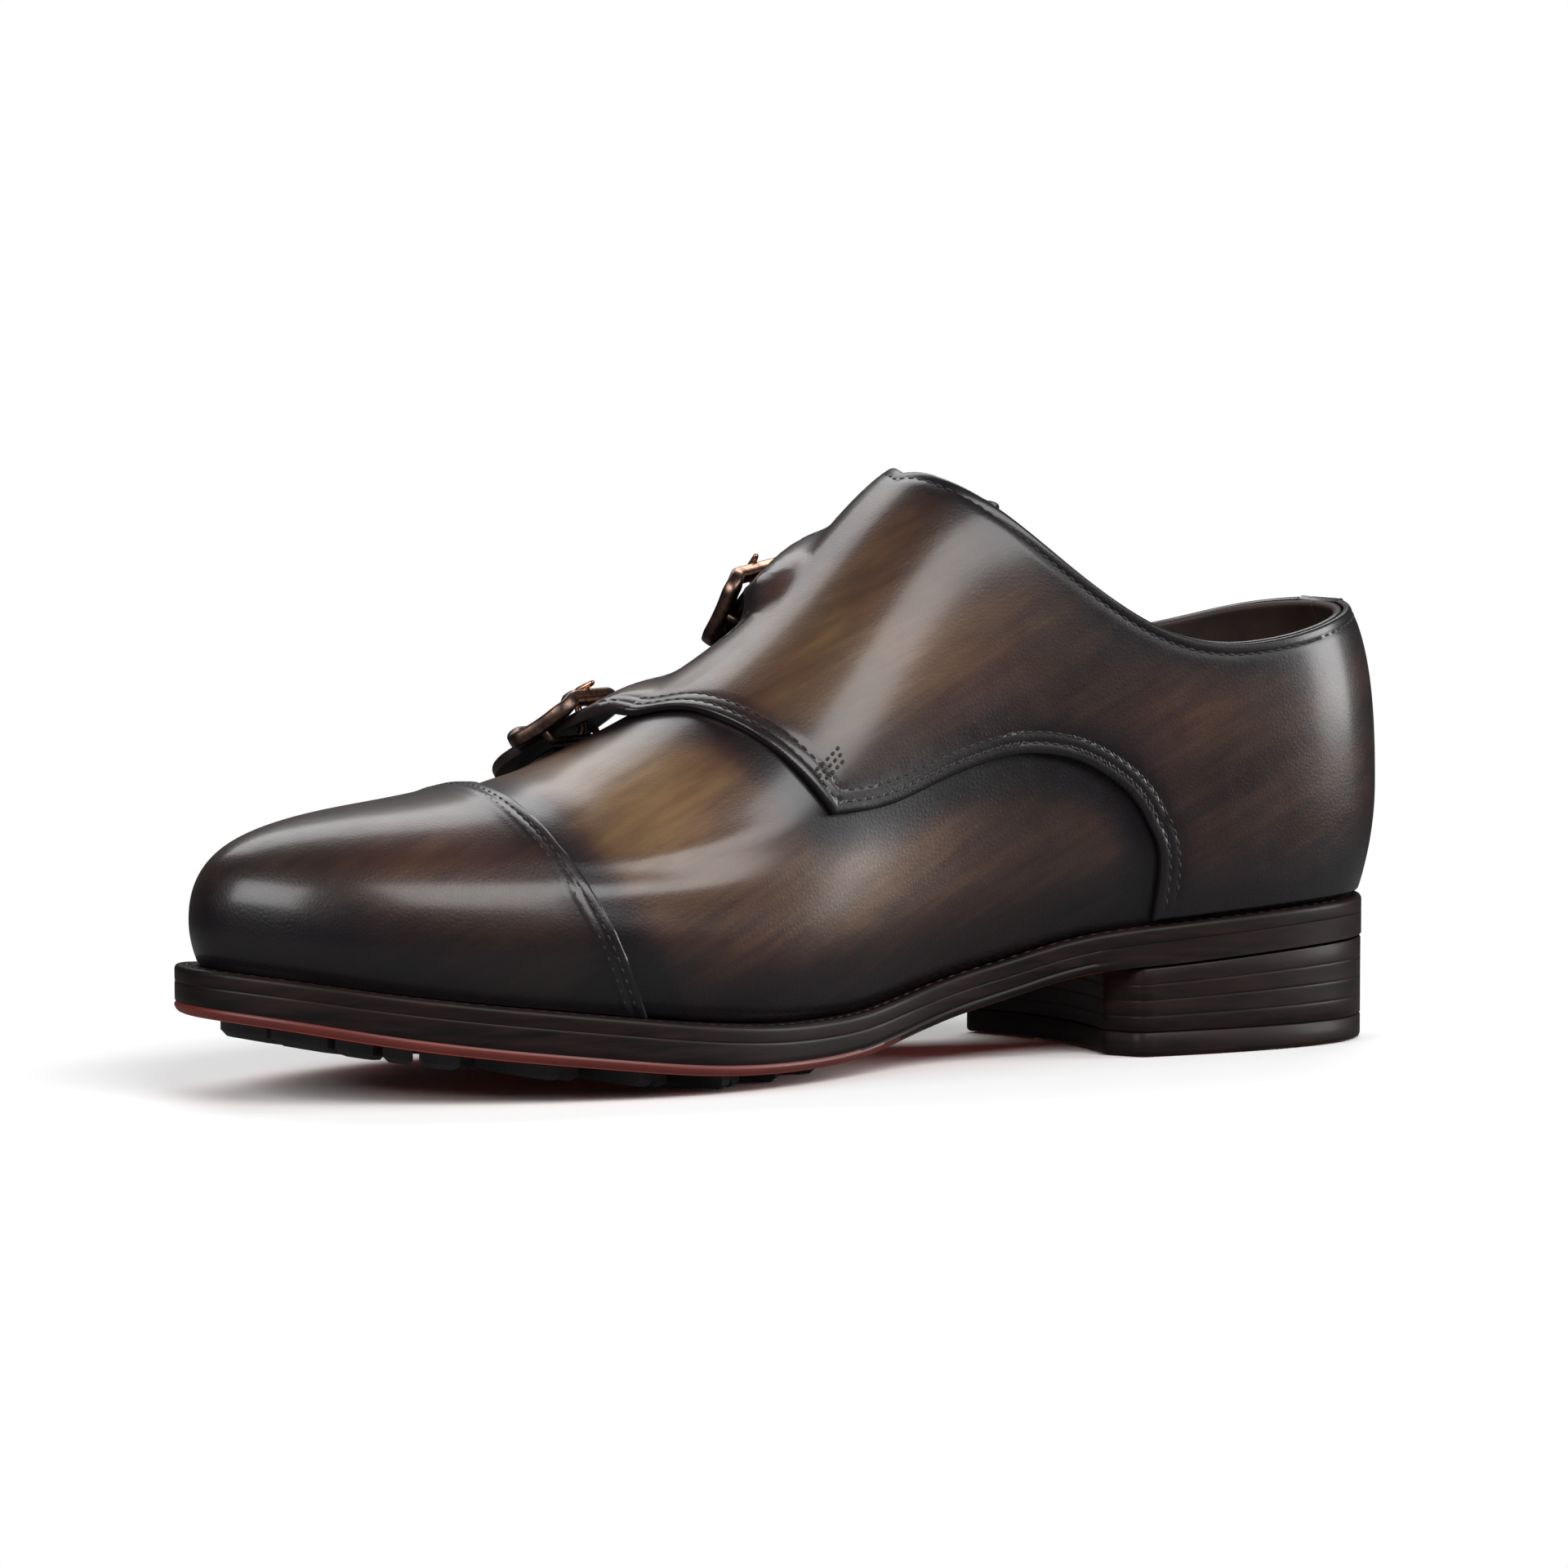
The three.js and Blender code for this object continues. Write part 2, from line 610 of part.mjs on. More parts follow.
// Four-leaved studs on the middle line: centre shares
const studs = [
  { name: "stud_1", x: 0.798, y: 0.106 },
  { name: "stud_2", x: 0.723, y: 0.058 },
  { name: "stud_3", x: 0.646, y: -0.02 },
];
const studRadius = 8;
const studWaist = 4.2;
for (const stud of studs) {
  const points = [];
  for (let i = 0; i < 24; i += 1) {
    const angle = (i / 24) * 2 * Math.PI;
    const radius = studWaist + (studRadius - studWaist) * Math.abs(Math.cos(2 * angle));
    const x = stud.x * soleLength + radius * Math.cos(angle);
    points.push(new THREE.Vector2(x, stud.y * ballWidth + radius * Math.sin(angle)));
  }
  addLug(stud.name, points);
}
// Fan of blocks round the toe, parted by narrow slots
const fanCentre = new THREE.Vector2(0.838 * soleLength, 0.1 * ballWidth);
const fanInner = 13;
const fanInset = 10;
const fanSlot = 2.2;
const fanTurns = [-48, -23, 1, 24, 47, 71, 97].map((degrees) => (degrees * Math.PI) / 180);
const fanOutline = closedOutline(() => fanInset, 60);
const fanZone = prism(fanOutline, -1, 60);
for (let i = 0; i + 1 < fanTurns.length; i += 1) {
  const points = [];
  const ray = (turn, radius, shift) => {
    const along = new THREE.Vector2(Math.cos(turn), Math.sin(turn));
    const across = new THREE.Vector2(-along.y, along.x);
    return fanCentre.clone().addScaledVector(along, radius).addScaledVector(across, shift);
  };
  points.push(ray(fanTurns[i], fanInner, fanSlot / 2), ray(fanTurns[i], 90, fanSlot / 2));
  points.push(ray(fanTurns[i + 1], 90, -fanSlot / 2), ray(fanTurns[i + 1], fanInner, -fanSlot / 2));
  const block = prism(points, -1, 60).intersect(fanZone).intersect(tread);
  addPiece(`lug_toe_${i + 1}`, fromSolid(block), colours.rubber, 0.7);
}

// Upper: grids of along and around values for each side
const upperRows = 9;
function sideGrid(mirror) {
  const grid = [];
  const behind = 14;
  const ahead = 20;
  for (let i = 0; i <= behind + ahead; i += 1) {
    const rear = throat * (1 - (1 - Math.min(i / behind, 1)) ** 1.5);
    const along = i <= behind ? rear : throat + ((1 - throat) * (i - behind)) / ahead;
    const top = i < behind ? collarAround(along) : 0;
    const stations = [];
    for (let j = 0; j <= upperRows; j += 1) {
      stations.push([along, mirror * (1 + (top - 1) * (j / upperRows))]);
    }
    grid.push(stations);
  }
  return grid;
}
const upperGrids = [{ grid: sideGrid(1), turned: true }, { grid: sideGrid(-1), turned: false }];
addPiece("upper", wall(upperGrids, -upperWall, 0), colours.leather, 0.35);

// Toe cap
const capRidge = 0.71;
const capSweep = 0.063;
function capGrid(mirror) {
  const grid = [];
  const steps = 10;
  for (let i = 0; i <= steps; i += 1) {
    const stations = [];
    for (let j = 0; j <= upperRows; j += 1) {
      const around = 1 - j / upperRows;
      const edge = capRidge - capSweep * around ** 2;
      stations.push([edge + ((1 - edge) * i) / steps, mirror * around]);
    }
    grid.push(stations);
  }
  return grid;
}
const leatherTop = overlayGap + leatherThickness;
const capGrids = [{ grid: capGrid(1), turned: true }, { grid: capGrid(-1), turned: false }];
addPiece("toe_cap", wall(capGrids, overlayGap, leatherTop), colours.leather, 0.3);

// Back strip over the heel seam
const heelAlongScale = 228;
const stripHalf = backStripWidth / 2 / heelAlongScale;
const stripThickness = 2;
const stripGap = 0.5 / heelAlongScale;
const collarDrop = 0.006;
function collarRun(start, end, mirror, count) {
  const points = [];
  for (let i = 0; i <= count; i += 1) {
    const along = start + ((end - start) * i) / count;
    points.push(flatPoint([along, mirror * (collarAround(along) + collarDrop)]));
  }
  return points;
}
const seatFlare = 1.35;
const stripFoot = 0.993;
const stripEdge = [];
for (let i = 0; i <= 6; i += 1) {
  const part = i / 6;
  const width = stripHalf * (1 + (seatFlare - 1) * (1 - part) ** 2);
  stripEdge.push([width, stripFoot + (collarAround(stripHalf) + collarDrop - stripFoot) * part]);
}
const stripRight = stripEdge.map(([along, around]) => flatPoint([along, around]));
const stripLeft = stripEdge.map(([along, around]) => flatPoint([-along, around])).reverse();
const stripPattern = [...stripRight, ...stripLeft];
const stripTop = () => overlayGap + stripThickness;
addPiece("back_strip", leatherPiece([stripPattern], [], () => overlayGap, stripTop), colours.leather, 0.3);

// Buckled straps: centre of each buckle on the upper, turn of the strap towards the toe in degrees,
// how high the strap stands off, and its length from the flap to the buckle in millimetres
const straps = [
  { name: "front", along: 0.597, around: -0.25, turn: 30, lift: 3.8, back: 32 },
  { name: "rear", along: 0.466, around: -0.31, turn: 8, lift: 5.4, back: 28 },
];
const strapWidth = 19;
const strapTip = 23;
const prongHole = 2.3;
for (const strap of straps) {
  const centre = flatPoint([strap.along, strap.around]);
  const at = (u, v) => upperPoint(u / patternScale.along, v / patternScale.around);
  strap.centre = centre;
  strap.base = upperPoint(strap.along, strap.around);
  strap.normal = upperNormal(strap.along, strap.around);
  strap.stepU = at(centre.x + 1, centre.y).sub(at(centre.x - 1, centre.y)).multiplyScalar(0.5);
  strap.stepV = at(centre.x, centre.y + 1).sub(at(centre.x, centre.y - 1)).multiplyScalar(0.5);
  const down = strap.stepV.clone().negate().normalize();
  const toeward = down.clone().cross(strap.normal).normalize();
  toeward.multiplyScalar(Math.sign(toeward.x));
  const turn = (strap.turn * Math.PI) / 180;
  strap.forward = down.multiplyScalar(Math.cos(turn)).addScaledVector(toeward, Math.sin(turn));
  strap.across = strap.normal.clone().cross(strap.forward).normalize();
}
// Place along and across the strap, in millimetres, of a point in the pattern, and the other way round
function strapPlace(strap, point) {
  const shift = point.clone().sub(strap.centre);
  const step = strap.stepU.clone().multiplyScalar(shift.x).addScaledVector(strap.stepV, shift.y);
  return new THREE.Vector2(step.dot(strap.forward), step.dot(strap.across));
}
function strapPoint(strap, x, y) {
  const step = strap.forward.clone().multiplyScalar(x).addScaledVector(strap.across, y);
  const uu = strap.stepU.dot(strap.stepU);
  const uv = strap.stepU.dot(strap.stepV);
  const vv = strap.stepV.dot(strap.stepV);
  const su = step.dot(strap.stepU);
  const sv = step.dot(strap.stepV);
  const scale = uu * vv - uv * uv;
  return new THREE.Vector2((su * vv - sv * uv) / scale, (sv * uu - su * uv) / scale).add(strap.centre);
}
function strapPattern(strap) {
  const half = strapWidth / 2;
  const shape = [[-strap.back, -half - 2], [-strap.back / 2, -half], [strapTip - 9, -half]];
  for (let i = 1; i < 8; i += 1) {
    const angle = -Math.PI / 2 + (i / 8) * Math.PI;
    shape.push([strapTip - 9 + 9 * Math.cos(angle), half * Math.sin(angle)]);
  }
  shape.push([strapTip - 9, half], [-strap.back / 2, half], [-strap.back, half + 2]);
  return shape.map(([x, y]) => strapPoint(strap, x, y));
}
function discPattern(strap, x, radius) {
  const points = [];
  for (let i = 0; i < 10; i += 1) {
    const angle = (i / 10) * 2 * Math.PI;
    points.push(strapPoint(strap, x + radius * Math.cos(angle), radius * Math.sin(angle)));
  }
  return points;
}
function ease(value) {
  const part = Math.min(Math.max(value, 0), 1);
  return part * part * (3 - 2 * part);
}
// Height of the flap and its straps above the upper
function flapHeight(along, around) {
  let height = overlayGap;
  if (around < 0) {
    for (const strap of straps) {
      const place = strapPlace(strap, flatPoint([along, around]));
      if (Math.abs(place.y) < strapWidth) {
        const rise = (strap.lift - overlayGap) * ease((place.x + 26) / 12);
        height = Math.max(height, overlayGap + rise);
      }
    }
  }
  return height;
}
function flapThickness(along, around) {
  return leatherThickness + (strapThickness - leatherThickness) * ease((0.02 - around) / 0.1);
}

// Inner quarter with its flap over the instep: seam and flap edges as along and around shares
const lowerSeam = [
  [0.513, 0.59],
  [0.47, 0.645],
  [0.42, 0.68],
  [0.375, 0.7],
  [0.336, 0.74],
  [0.308, 0.795],
  [0.296, 0.86],
  [0.295, stripFoot],
];
const flapFront = [
  [0.596, -0.13],
  [0.589, -0.07],
  [0.58, 0.03],
  [0.569, 0.15],
  [0.552, 0.3],
  [0.532, 0.45],
  [0.513, 0.59],
];
const flapEdge = 0.11;
let flapBack = 0.3;
while (collarAround(flapBack) > flapEdge) {
  flapBack += 0.001;
}
const stripSide = stripEdge.map(([along, around]) => [along + stripGap, around]);
const quarterPattern = [
  ...stripSide.map(([along, around]) => flatPoint([along, around])),
  ...collarRun(stripHalf + stripGap, throat - 0.002, 1, 26).slice(1),
  flatPoint([throat + 0.003, 0]),
  ...collarRun(throat - 0.002, flapBack, -1, 4),
  flatPoint([0.44, -0.125]),
  flatPoint([0.5, -0.12]),
  flatPoint([0.55, -0.14]),
  ...smoothEdge(flapFront, 16),
  ...smoothEdge(lowerSeam, 20).slice(1),
];
const innerHoles = straps.map((strap) => discPattern(strap, -3.4, prongHole));
const quarter = leatherPiece(
  [quarterPattern, ...straps.map(strapPattern)],
  innerHoles,
  flapHeight,
  (along, around) => flapHeight(along, around) + flapThickness(along, around),
);
addPiece("inner_quarter", quarter, colours.leather, 0.3);

// Outer quarter behind the buckles
const outerFront = [[0.396, -0.23], [0.43, -0.25], [0.47, -0.31], [0.505, -0.42], [0.513, -0.59]];
let outerTop = 0.3;
while (collarAround(outerTop) > 0.215) {
  outerTop += 0.001;
}
const outerPattern = [
  ...stripSide.map(([along, around]) => flatPoint([along, -around])),
  ...collarRun(stripHalf + stripGap, outerTop, -1, 24).slice(1),
  ...smoothEdge(outerFront, 14),
  ...smoothEdge(lowerSeam.map(([along, around]) => [along, -around]), 20).slice(1),
];
const outerQuarter = leatherPiece([outerPattern], [], () => overlayGap, () => leatherTop);
addPiece("outer_quarter", outerQuarter, colours.leather, 0.3);

// Tongue under the throat, past the collar; its tip leans inward behind the throat
const tongueGap = 1.8;
const tongueLean = { from: 0.415, over: 0.06, drop: 9 };
const tongueSide = [[0.47, 0.3], [0.43, 0.3], [0.4, 0.28], [0.374, 0.22], [0.36, 0.12]];
const tongueEdge = [
  ...tongueSide,
  [0.356, 0],
  ...tongueSide.map(([along, around]) => [along, -around]).reverse(),
];
function tongueTop(along) {
  const lean = ease((tongueLean.from - along) / tongueLean.over) ** 1.5;
  return -upperWall - tongueGap - tongueLean.drop * lean;
}
const tonguePattern = smoothEdge(tongueEdge, 30);
const tongue = leatherPiece([tonguePattern], [], (along) => tongueTop(along) - tongueThickness, tongueTop);
addPiece("tongue", tongue, colours.leather, 0.4);

// Buckles
const wireRadius = buckleWire / 2;
function closedTube(path, radius, sides) {
  const position = [];
  const index = [];
  const count = path.length;
  for (let i = 0; i < count; i += 1) {
    const heading = path[(i + 1) % count].clone().sub(path[(i + count - 1) % count]).normalize();
    const outward = new THREE.Vector3(0, 0, 1).cross(heading).normalize();
    const upward = heading.clone().cross(outward);
    for (let j = 0; j < sides; j += 1) {
      const angle = (j / sides) * 2 * Math.PI;
      const point = path[i].clone();
      point.addScaledVector(outward, radius * Math.cos(angle));
      point.addScaledVector(upward, radius * Math.sin(angle));
      position.push(point.x, point.y, point.z);
      const a = i * sides + j;
      const b = i * sides + ((j + 1) % sides);
      const c = ((i + 1) % count) * sides + ((j + 1) % sides);
      const d = ((i + 1) % count) * sides + j;
      index.push(a, b, c, a, c, d);
    }
  }
  const geometry = new THREE.BufferGeometry();
  geometry.setAttribute("position", new THREE.Float32BufferAttribute(position, 3));
  geometry.setIndex(index);
  return geometry;
}
const frameCorner = 3;
const frameBow = 1.6;
function framePath(endHeight) {
  const halfLong = buckleLength / 2 - wireRadius;
  const halfWide = buckleWidth / 2 - wireRadius;
  const points = [];
  const place = (x, y) => {
    const bend = (x / halfLong) ** 2;
    points.push(new THREE.Vector3(x, y, endHeight - frameBow * (1 - bend)));
  };
  for (const [sideX, sideY, start] of [[1, 1, 0], [-1, 1, 90], [-1, -1, 180], [1, -1, 270]]) {
    for (let i = 0; i <= 3; i += 1) {
      const angle = ((start + i * 30) * Math.PI) / 180;
      const cornerX = sideX * (halfLong - frameCorner);
      const cornerY = sideY * (halfWide - frameCorner);
      place(cornerX + frameCorner * Math.cos(angle), cornerY + frameCorner * Math.sin(angle));
    }
    if (start === 0 || start === 180) {
      for (const share of [0.5, 0, -0.5]) {
        place(sideX * share * (halfLong - frameCorner), sideY * halfWide);
      }
    }
  }
  return points;
}
const barRadius = 0.9;
const barDrop = 1.15;
const endClearance = 1.1;
for (const strap of straps) {
  const basis = new THREE.Matrix4().makeBasis(strap.forward, strap.across, strap.normal);
  const turn = new THREE.Quaternion().setFromRotationMatrix(basis);
  const barHeight = strap.lift - barDrop - barRadius;
  const endHeight = strap.lift + strapThickness + seatGap + wireRadius + endClearance;
  const rail = endHeight - frameBow;
  const halfBar = buckleWidth / 2 - wireRadius;
  const ears = [
    [halfBar, rail],
    [halfBar - 0.3, rail - 1.4],
    [halfBar - 0.8, barHeight + 1],
    [halfBar - 1.8, barHeight],
    [halfBar - 4, barHeight],
  ];
  const barSide = ears.map(([y, z]) => new THREE.Vector3(0, y, z));
  const barMirror = ears.map(([y, z]) => new THREE.Vector3(0, -y, z)).reverse();
  const barPath = new THREE.CatmullRomCurve3([...barSide, ...barMirror]);
  const barOptions = { steps: 14, curveSegments: 3, extrudePath: barPath, bevelEnabled: false };
  const barSection = new THREE.Shape().absarc(0, 0, barRadius, 0, 2 * Math.PI);
  const bar = new THREE.ExtrudeGeometry(barSection, barOptions);
  const frame = toSolid(closedTube(framePath(endHeight), wireRadius, 6)).add(toSolid(bar));
  const frameMesh = addPiece(`buckle_${strap.name}`, fromSolid(frame), colours.metal, 0.35, 1);
  const prongStart = barHeight + barRadius;
  const prongTop = endHeight + wireRadius + seatGap + 0.9;
  const prongPath = new THREE.CatmullRomCurve3([
    new THREE.Vector3(-1.9, 0, prongStart - 0.6),
    new THREE.Vector3(-3.4, 0, prongStart + 1.2),
    new THREE.Vector3(-5.4, 0, prongTop - 0.9),
    new THREE.Vector3(-8.2, 0, prongTop),
    new THREE.Vector3(-11.2, 0, prongTop - 0.1),
  ]);
  const section = new THREE.Shape().absarc(0, 0, 0.85, 0, 2 * Math.PI);
  const prongOptions = { steps: 8, curveSegments: 3, extrudePath: prongPath, bevelEnabled: false };
  const prong = new THREE.ExtrudeGeometry(section, prongOptions);
  const prongMesh = addPiece(`prong_${strap.name}`, prong, colours.metal, 0.35, 1);
  for (const mesh of [frameMesh, prongMesh]) {
    mesh.position.copy(strap.base);
    mesh.quaternion.copy(turn);
  }
}

// Tabs that hold the buckles
const tabWidth = 12;
const tabThickness = 1.3;
for (const strap of straps) {
  const floor = strap.name === "rear" ? leatherTop + seatGap : overlayGap;
  const shape = [[3, -tabWidth / 2], [18, -tabWidth / 2], [20, 0], [18, tabWidth / 2], [3, tabWidth / 2]];
  const pattern = shape.map(([x, y]) => strapPoint(strap, x, y));
  const low = () => floor;
  const tab = leatherPiece([pattern], [], low, () => floor + tabThickness);
  addPiece(`tab_${strap.name}`, tab, colours.leather, 0.4);
}

shoe.position.x = -0.14 * soleLength;
export default shoe;
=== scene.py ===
import math

import bmesh
import bpy
import numpy as np
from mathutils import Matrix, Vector
from mathutils.geometry import delaunay_2d_cdt
from mathutils.kdtree import KDTree


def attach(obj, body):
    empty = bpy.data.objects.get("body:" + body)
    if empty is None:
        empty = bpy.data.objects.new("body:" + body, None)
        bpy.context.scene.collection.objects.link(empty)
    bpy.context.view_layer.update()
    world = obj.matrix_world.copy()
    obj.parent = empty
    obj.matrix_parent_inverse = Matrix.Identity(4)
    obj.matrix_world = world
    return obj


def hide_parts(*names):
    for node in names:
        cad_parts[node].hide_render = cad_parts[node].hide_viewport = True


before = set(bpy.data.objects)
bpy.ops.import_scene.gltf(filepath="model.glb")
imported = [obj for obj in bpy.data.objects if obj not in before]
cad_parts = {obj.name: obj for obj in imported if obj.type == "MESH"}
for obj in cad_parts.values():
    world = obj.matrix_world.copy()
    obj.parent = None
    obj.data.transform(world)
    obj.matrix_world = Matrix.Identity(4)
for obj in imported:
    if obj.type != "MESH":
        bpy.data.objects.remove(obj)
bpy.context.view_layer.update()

# Driving dimensions, in millimetres, as in the frame
SOLE_LENGTH = 302.0
BALL_WIDTH = 104.0
HEEL_SEAT = 34.0
INSTEP = 134.0
WELT_THICKNESS = 3.8
LUG_HEIGHT = 3.7
TOP_PIECE = 5.6
INSOLE_THICKNESS = 5.4
UPPER_WALL = 2.2
LEATHER = 1.5
STRAP = 2.4
TONGUE_THICKNESS = 2.0
SEAT_GAP = 0.35
OVERLAY_GAP = 0.6
ORIGIN_X = 0.14 * SOLE_LENGTH

# Sole outline: length share, inner and outer half width share, inset of the upper's edge on each side
FOOTPRINT = [
    (0.000, 0.000, 0.000, 3.4, 3.4),
    (0.015, 0.159, 0.159, 3.4, 3.4),
    (0.060, 0.279, 0.284, 3.4, 3.6),
    (0.149, 0.327, 0.332, 3.4, 3.8),
    (0.258, 0.308, 0.332, 3.2, 4.2),
    (0.364, 0.269, 0.327, 2.8, 5.0),
    (0.464, 0.303, 0.361, 3.2, 6.0),
    (0.563, 0.421, 0.438, 5.0, 6.8),
    (0.662, 0.486, 0.510, 6.4, 7.0),
    (0.755, 0.476, 0.514, 7.0, 7.0),
    (0.844, 0.406, 0.442, 7.2, 7.2),
    (0.924, 0.298, 0.317, 7.2, 7.2),
    (0.980, 0.149, 0.163, 7.2, 7.2),
    (1.000, 0.000, 0.000, 7.2, 7.2),
]
# Side of the sole: length share, height of the welt's top and thickness as shares of the heel seat
SOLE_SIDE = [
    (0.000, 1.000, 0.279),
    (0.070, 0.980, 0.279),
    (0.150, 0.941, 0.279),
    (0.225, 0.897, 0.279),
    (0.310, 0.809, 0.268),
    (0.355, 0.712, 0.274),
    (0.405, 0.612, 0.282),
    (0.450, 0.515, 0.294),
    (0.490, 0.441, 0.303),
    (0.536, 0.415, 0.312),
    (0.580, 0.418, 0.318),
    (0.646, 0.459, 0.336),
    (0.732, 0.550, 0.344),
    (0.831, 0.656, 0.344),
    (0.904, 0.747, 0.335),
    (0.957, 0.821, 0.325),
    (1.000, 0.868, 0.318),
]
# Ridge of the upper: length share, height share of the instep, sideways place
RIDGE = [
    (0.100, 0.880, 0.0),
    (0.200, 0.955, 1.0),
    (0.280, 1.015, 2.0),
    (0.330, 1.030, 2.5),
    (0.370, 1.022, 3.0),
    (0.400, 0.998, 3.0),
    (0.430, 0.944, 3.0),
    (0.483, 0.826, 3.0),
    (0.556, 0.694, 3.0),
    (0.613, 0.620, 2.5),
    (0.709, 0.524, 1.5),
    (0.772, 0.486, 1.0),
    (0.821, 0.468, 0.5),
    (0.877, 0.452, 0.0),
    (0.930, 0.430, 0.0),
]
# Sections of the upper: top's length share, bulge of each side, rise of the bulge, fullness of side and top
SECTIONS = [
    (0.113, 4.6, 4.6, 26.0, 0.78, 0.72),
    (0.115, 4.4, 4.4, 26.0, 0.78, 0.74),
    (0.127, 3.8, 3.8, 25.0, 0.76, 0.80),
    (0.164, 3.0, 3.2, 24.0, 0.72, 0.88),
    (0.258, 4.0, 3.0, 23.0, 0.68, 0.90),
    (0.364, 7.0, 3.4, 24.0, 0.60, 0.80),
    (0.464, 8.5, 4.2, 23.0, 0.50, 0.66),
    (0.563, 6.0, 4.6, 19.0, 0.46, 0.58),
    (0.662, 3.6, 4.0, 16.0, 0.48, 0.58),
    (0.748, 2.6, 2.8, 14.0, 0.54, 0.60),
    (0.815, 2.0, 2.0, 12.0, 0.60, 0.62),
    (0.860, 2.0, 2.0, 10.5, 0.64, 0.62),
    (0.882, 2.2, 2.2, 10.0, 0.66, 0.62),
    (0.888, 2.4, 2.4, 10.0, 0.66, 0.62),
]
# Collar line: length share and height share of the instep
COLLAR = [
    (-0.02, 0.785),
    (0.02, 0.770),
    (0.08, 0.738),
    (0.14, 0.716),
    (0.19, 0.717),
    (0.23, 0.742),
    (0.27, 0.790),
    (0.31, 0.855),
    (0.345, 0.920),
    (0.38, 0.978),
    (0.42, 1.020),
]


def cubic(xs, ys):
    """Natural cubic curve through the points."""
    xs = np.asarray(xs, float)
    ys = np.asarray(ys, float)
    step = np.diff(xs)
    count = len(xs)
    system = np.eye(count)
    right = np.zeros(count)
    for i in range(1, count - 1):
        system[i, i - 1:i + 2] = step[i - 1], 2 * (step[i - 1] + step[i]), step[i]
        right[i] = 6 * ((ys[i + 1] - ys[i]) / step[i] - (ys[i] - ys[i - 1]) / step[i - 1])
    bend = np.linalg.solve(system, right)

    def curve(x):
        x = np.asarray(x, float)
        i = np.clip(np.searchsorted(xs, x) - 1, 0, count - 2)
        a = (xs[i + 1] - x) / step[i]
        b = (x - xs[i]) / step[i]
        curved = (a ** 3 - a) * bend[i] + (b ** 3 - b) * bend[i + 1]
        return a * ys[i] + b * ys[i + 1] + curved * step[i] ** 2 / 6

    return curve


def rounded(values, sign):
    """Curve over the row number that turns back with the given sign at the heel and at the toe."""
    last = len(values) - 1
    rows = list(range(-3, last + 4))
    mirrored = [-row if row < 0 else 2 * last - row if row > last else row for row in rows]
    heights = [values[m] if row == m else sign * values[m] for row, m in zip(rows, mirrored)]
    return cubic(rows, heights)


def columns(table, units):
    """Columns of a table, each times its unit."""
    return [[row[place] * unit for row in table] for place, unit in enumerate(units)]


ROWS = len(FOOTPRINT) - 1
footprint = columns(FOOTPRINT, (SOLE_LENGTH, BALL_WIDTH, BALL_WIDTH, 1, 1))
outline_x, half_inner, half_outer, inset_inner, inset_outer = map(rounded, footprint, (1, -1, -1, 1, 1))
side_x, side_height, side_thickness = columns(SOLE_SIDE, (SOLE_LENGTH, HEEL_SEAT, HEEL_SEAT))
welt_top = cubic(side_x, side_height)
sole_thickness = cubic(side_x, side_thickness)
ridge_x, ridge_rise, ridge_shift = columns(RIDGE, (SOLE_LENGTH, INSTEP, 1))
ridge_height = cubic(ridge_x, ridge_rise)
ridge_side = cubic(ridge_x, ridge_shift)
section_ridge, section_inner, section_outer, section_rise, section_side, section_top = (
    rounded(values, 1) for values in columns(SECTIONS, (SOLE_LENGTH, 1, 1, 1, 1, 1)))
collar_height = cubic(*columns(COLLAR, (SOLE_LENGTH, INSTEP)))


def sole_bottom(x):
    return welt_top(x) - sole_thickness(x)


def outsole_top(x):
    return welt_top(x) - WELT_THICKNESS


def outline_point(inner, row, inset):
    """Point of the sole outline at a row number, moved inward; inner is true on the inner side."""
    row = np.asarray(row, float)
    step = 0.01
    slope_x = outline_x(row + step) - outline_x(row - step)
    half = np.where(inner, half_inner(row), half_outer(row))
    slope_y = np.where(inner, half_inner(row + step) - half_inner(row - step),
                       half_outer(row + step) - half_outer(row - step))
    length = np.hypot(slope_x, slope_y)
    x = outline_x(row) + slope_y / length * inset
    y = half - slope_x / length * inset
    return x, y * np.where(inner, 1.0, -1.0)


def closed_outline(inset_at, count):
    """Closed loop of points round the sole, outer side first."""
    rows = np.concatenate([np.arange(count) / count, np.arange(count, 0, -1) / count]) * ROWS
    inner = np.concatenate([np.zeros(count, bool), np.ones(count, bool)])
    return np.stack(outline_point(inner, rows, inset_at(inner, rows)), 1)


def upper_inset(inner, row):
    return np.where(inner, inset_inner(row), inset_outer(row))


# Share of the way up each side that the straight foot of the section takes
EDGE_SHARE = 0.18
# Creases across the flex of the vamp: place, depth, half width
CREASES = [(192, 0.35, 5.0), (203, 0.3, 4.0)]
# Long ripples on the inner side below the flap: around place, height, half width
RIPPLES = [(0.66, 0.55, 0.05), (0.55, 0.4, 0.035), (0.8, 0.4, 0.06)]


def soft(value):
    """Smooth step from 0 to 1."""
    part = np.clip(value, 0, 1)
    return part * part * (3 - 2 * part)


def hill(value, middle, half_width):
    """Smooth hump that is 1 at its middle."""
    return np.exp(-((value - middle) / half_width) ** 2)


def relief(along, around):
    """Soft folds and ripples of the worn-in leather, in millimetres."""
    x = along * SOLE_LENGTH
    side = np.abs(around)
    folds = 0.0
    for place, depth, width in CREASES:
        bow = 0.02 * SOLE_LENGTH * np.cos(around * 3)
        folds = folds - depth * hill(x, place + bow, width) * hill(side, 0, 0.45)
    for place, height, width in RIPPLES:
        drift = place - 0.35 * (along - 0.58)
        folds = folds + height * hill(around, drift, width) * hill(x, 185, 28)
    # hollow in front of the heel counter and behind the flap on each side
    return folds - 0.7 * hill(x, 88, 16) * hill(side, 0.5, 0.2)


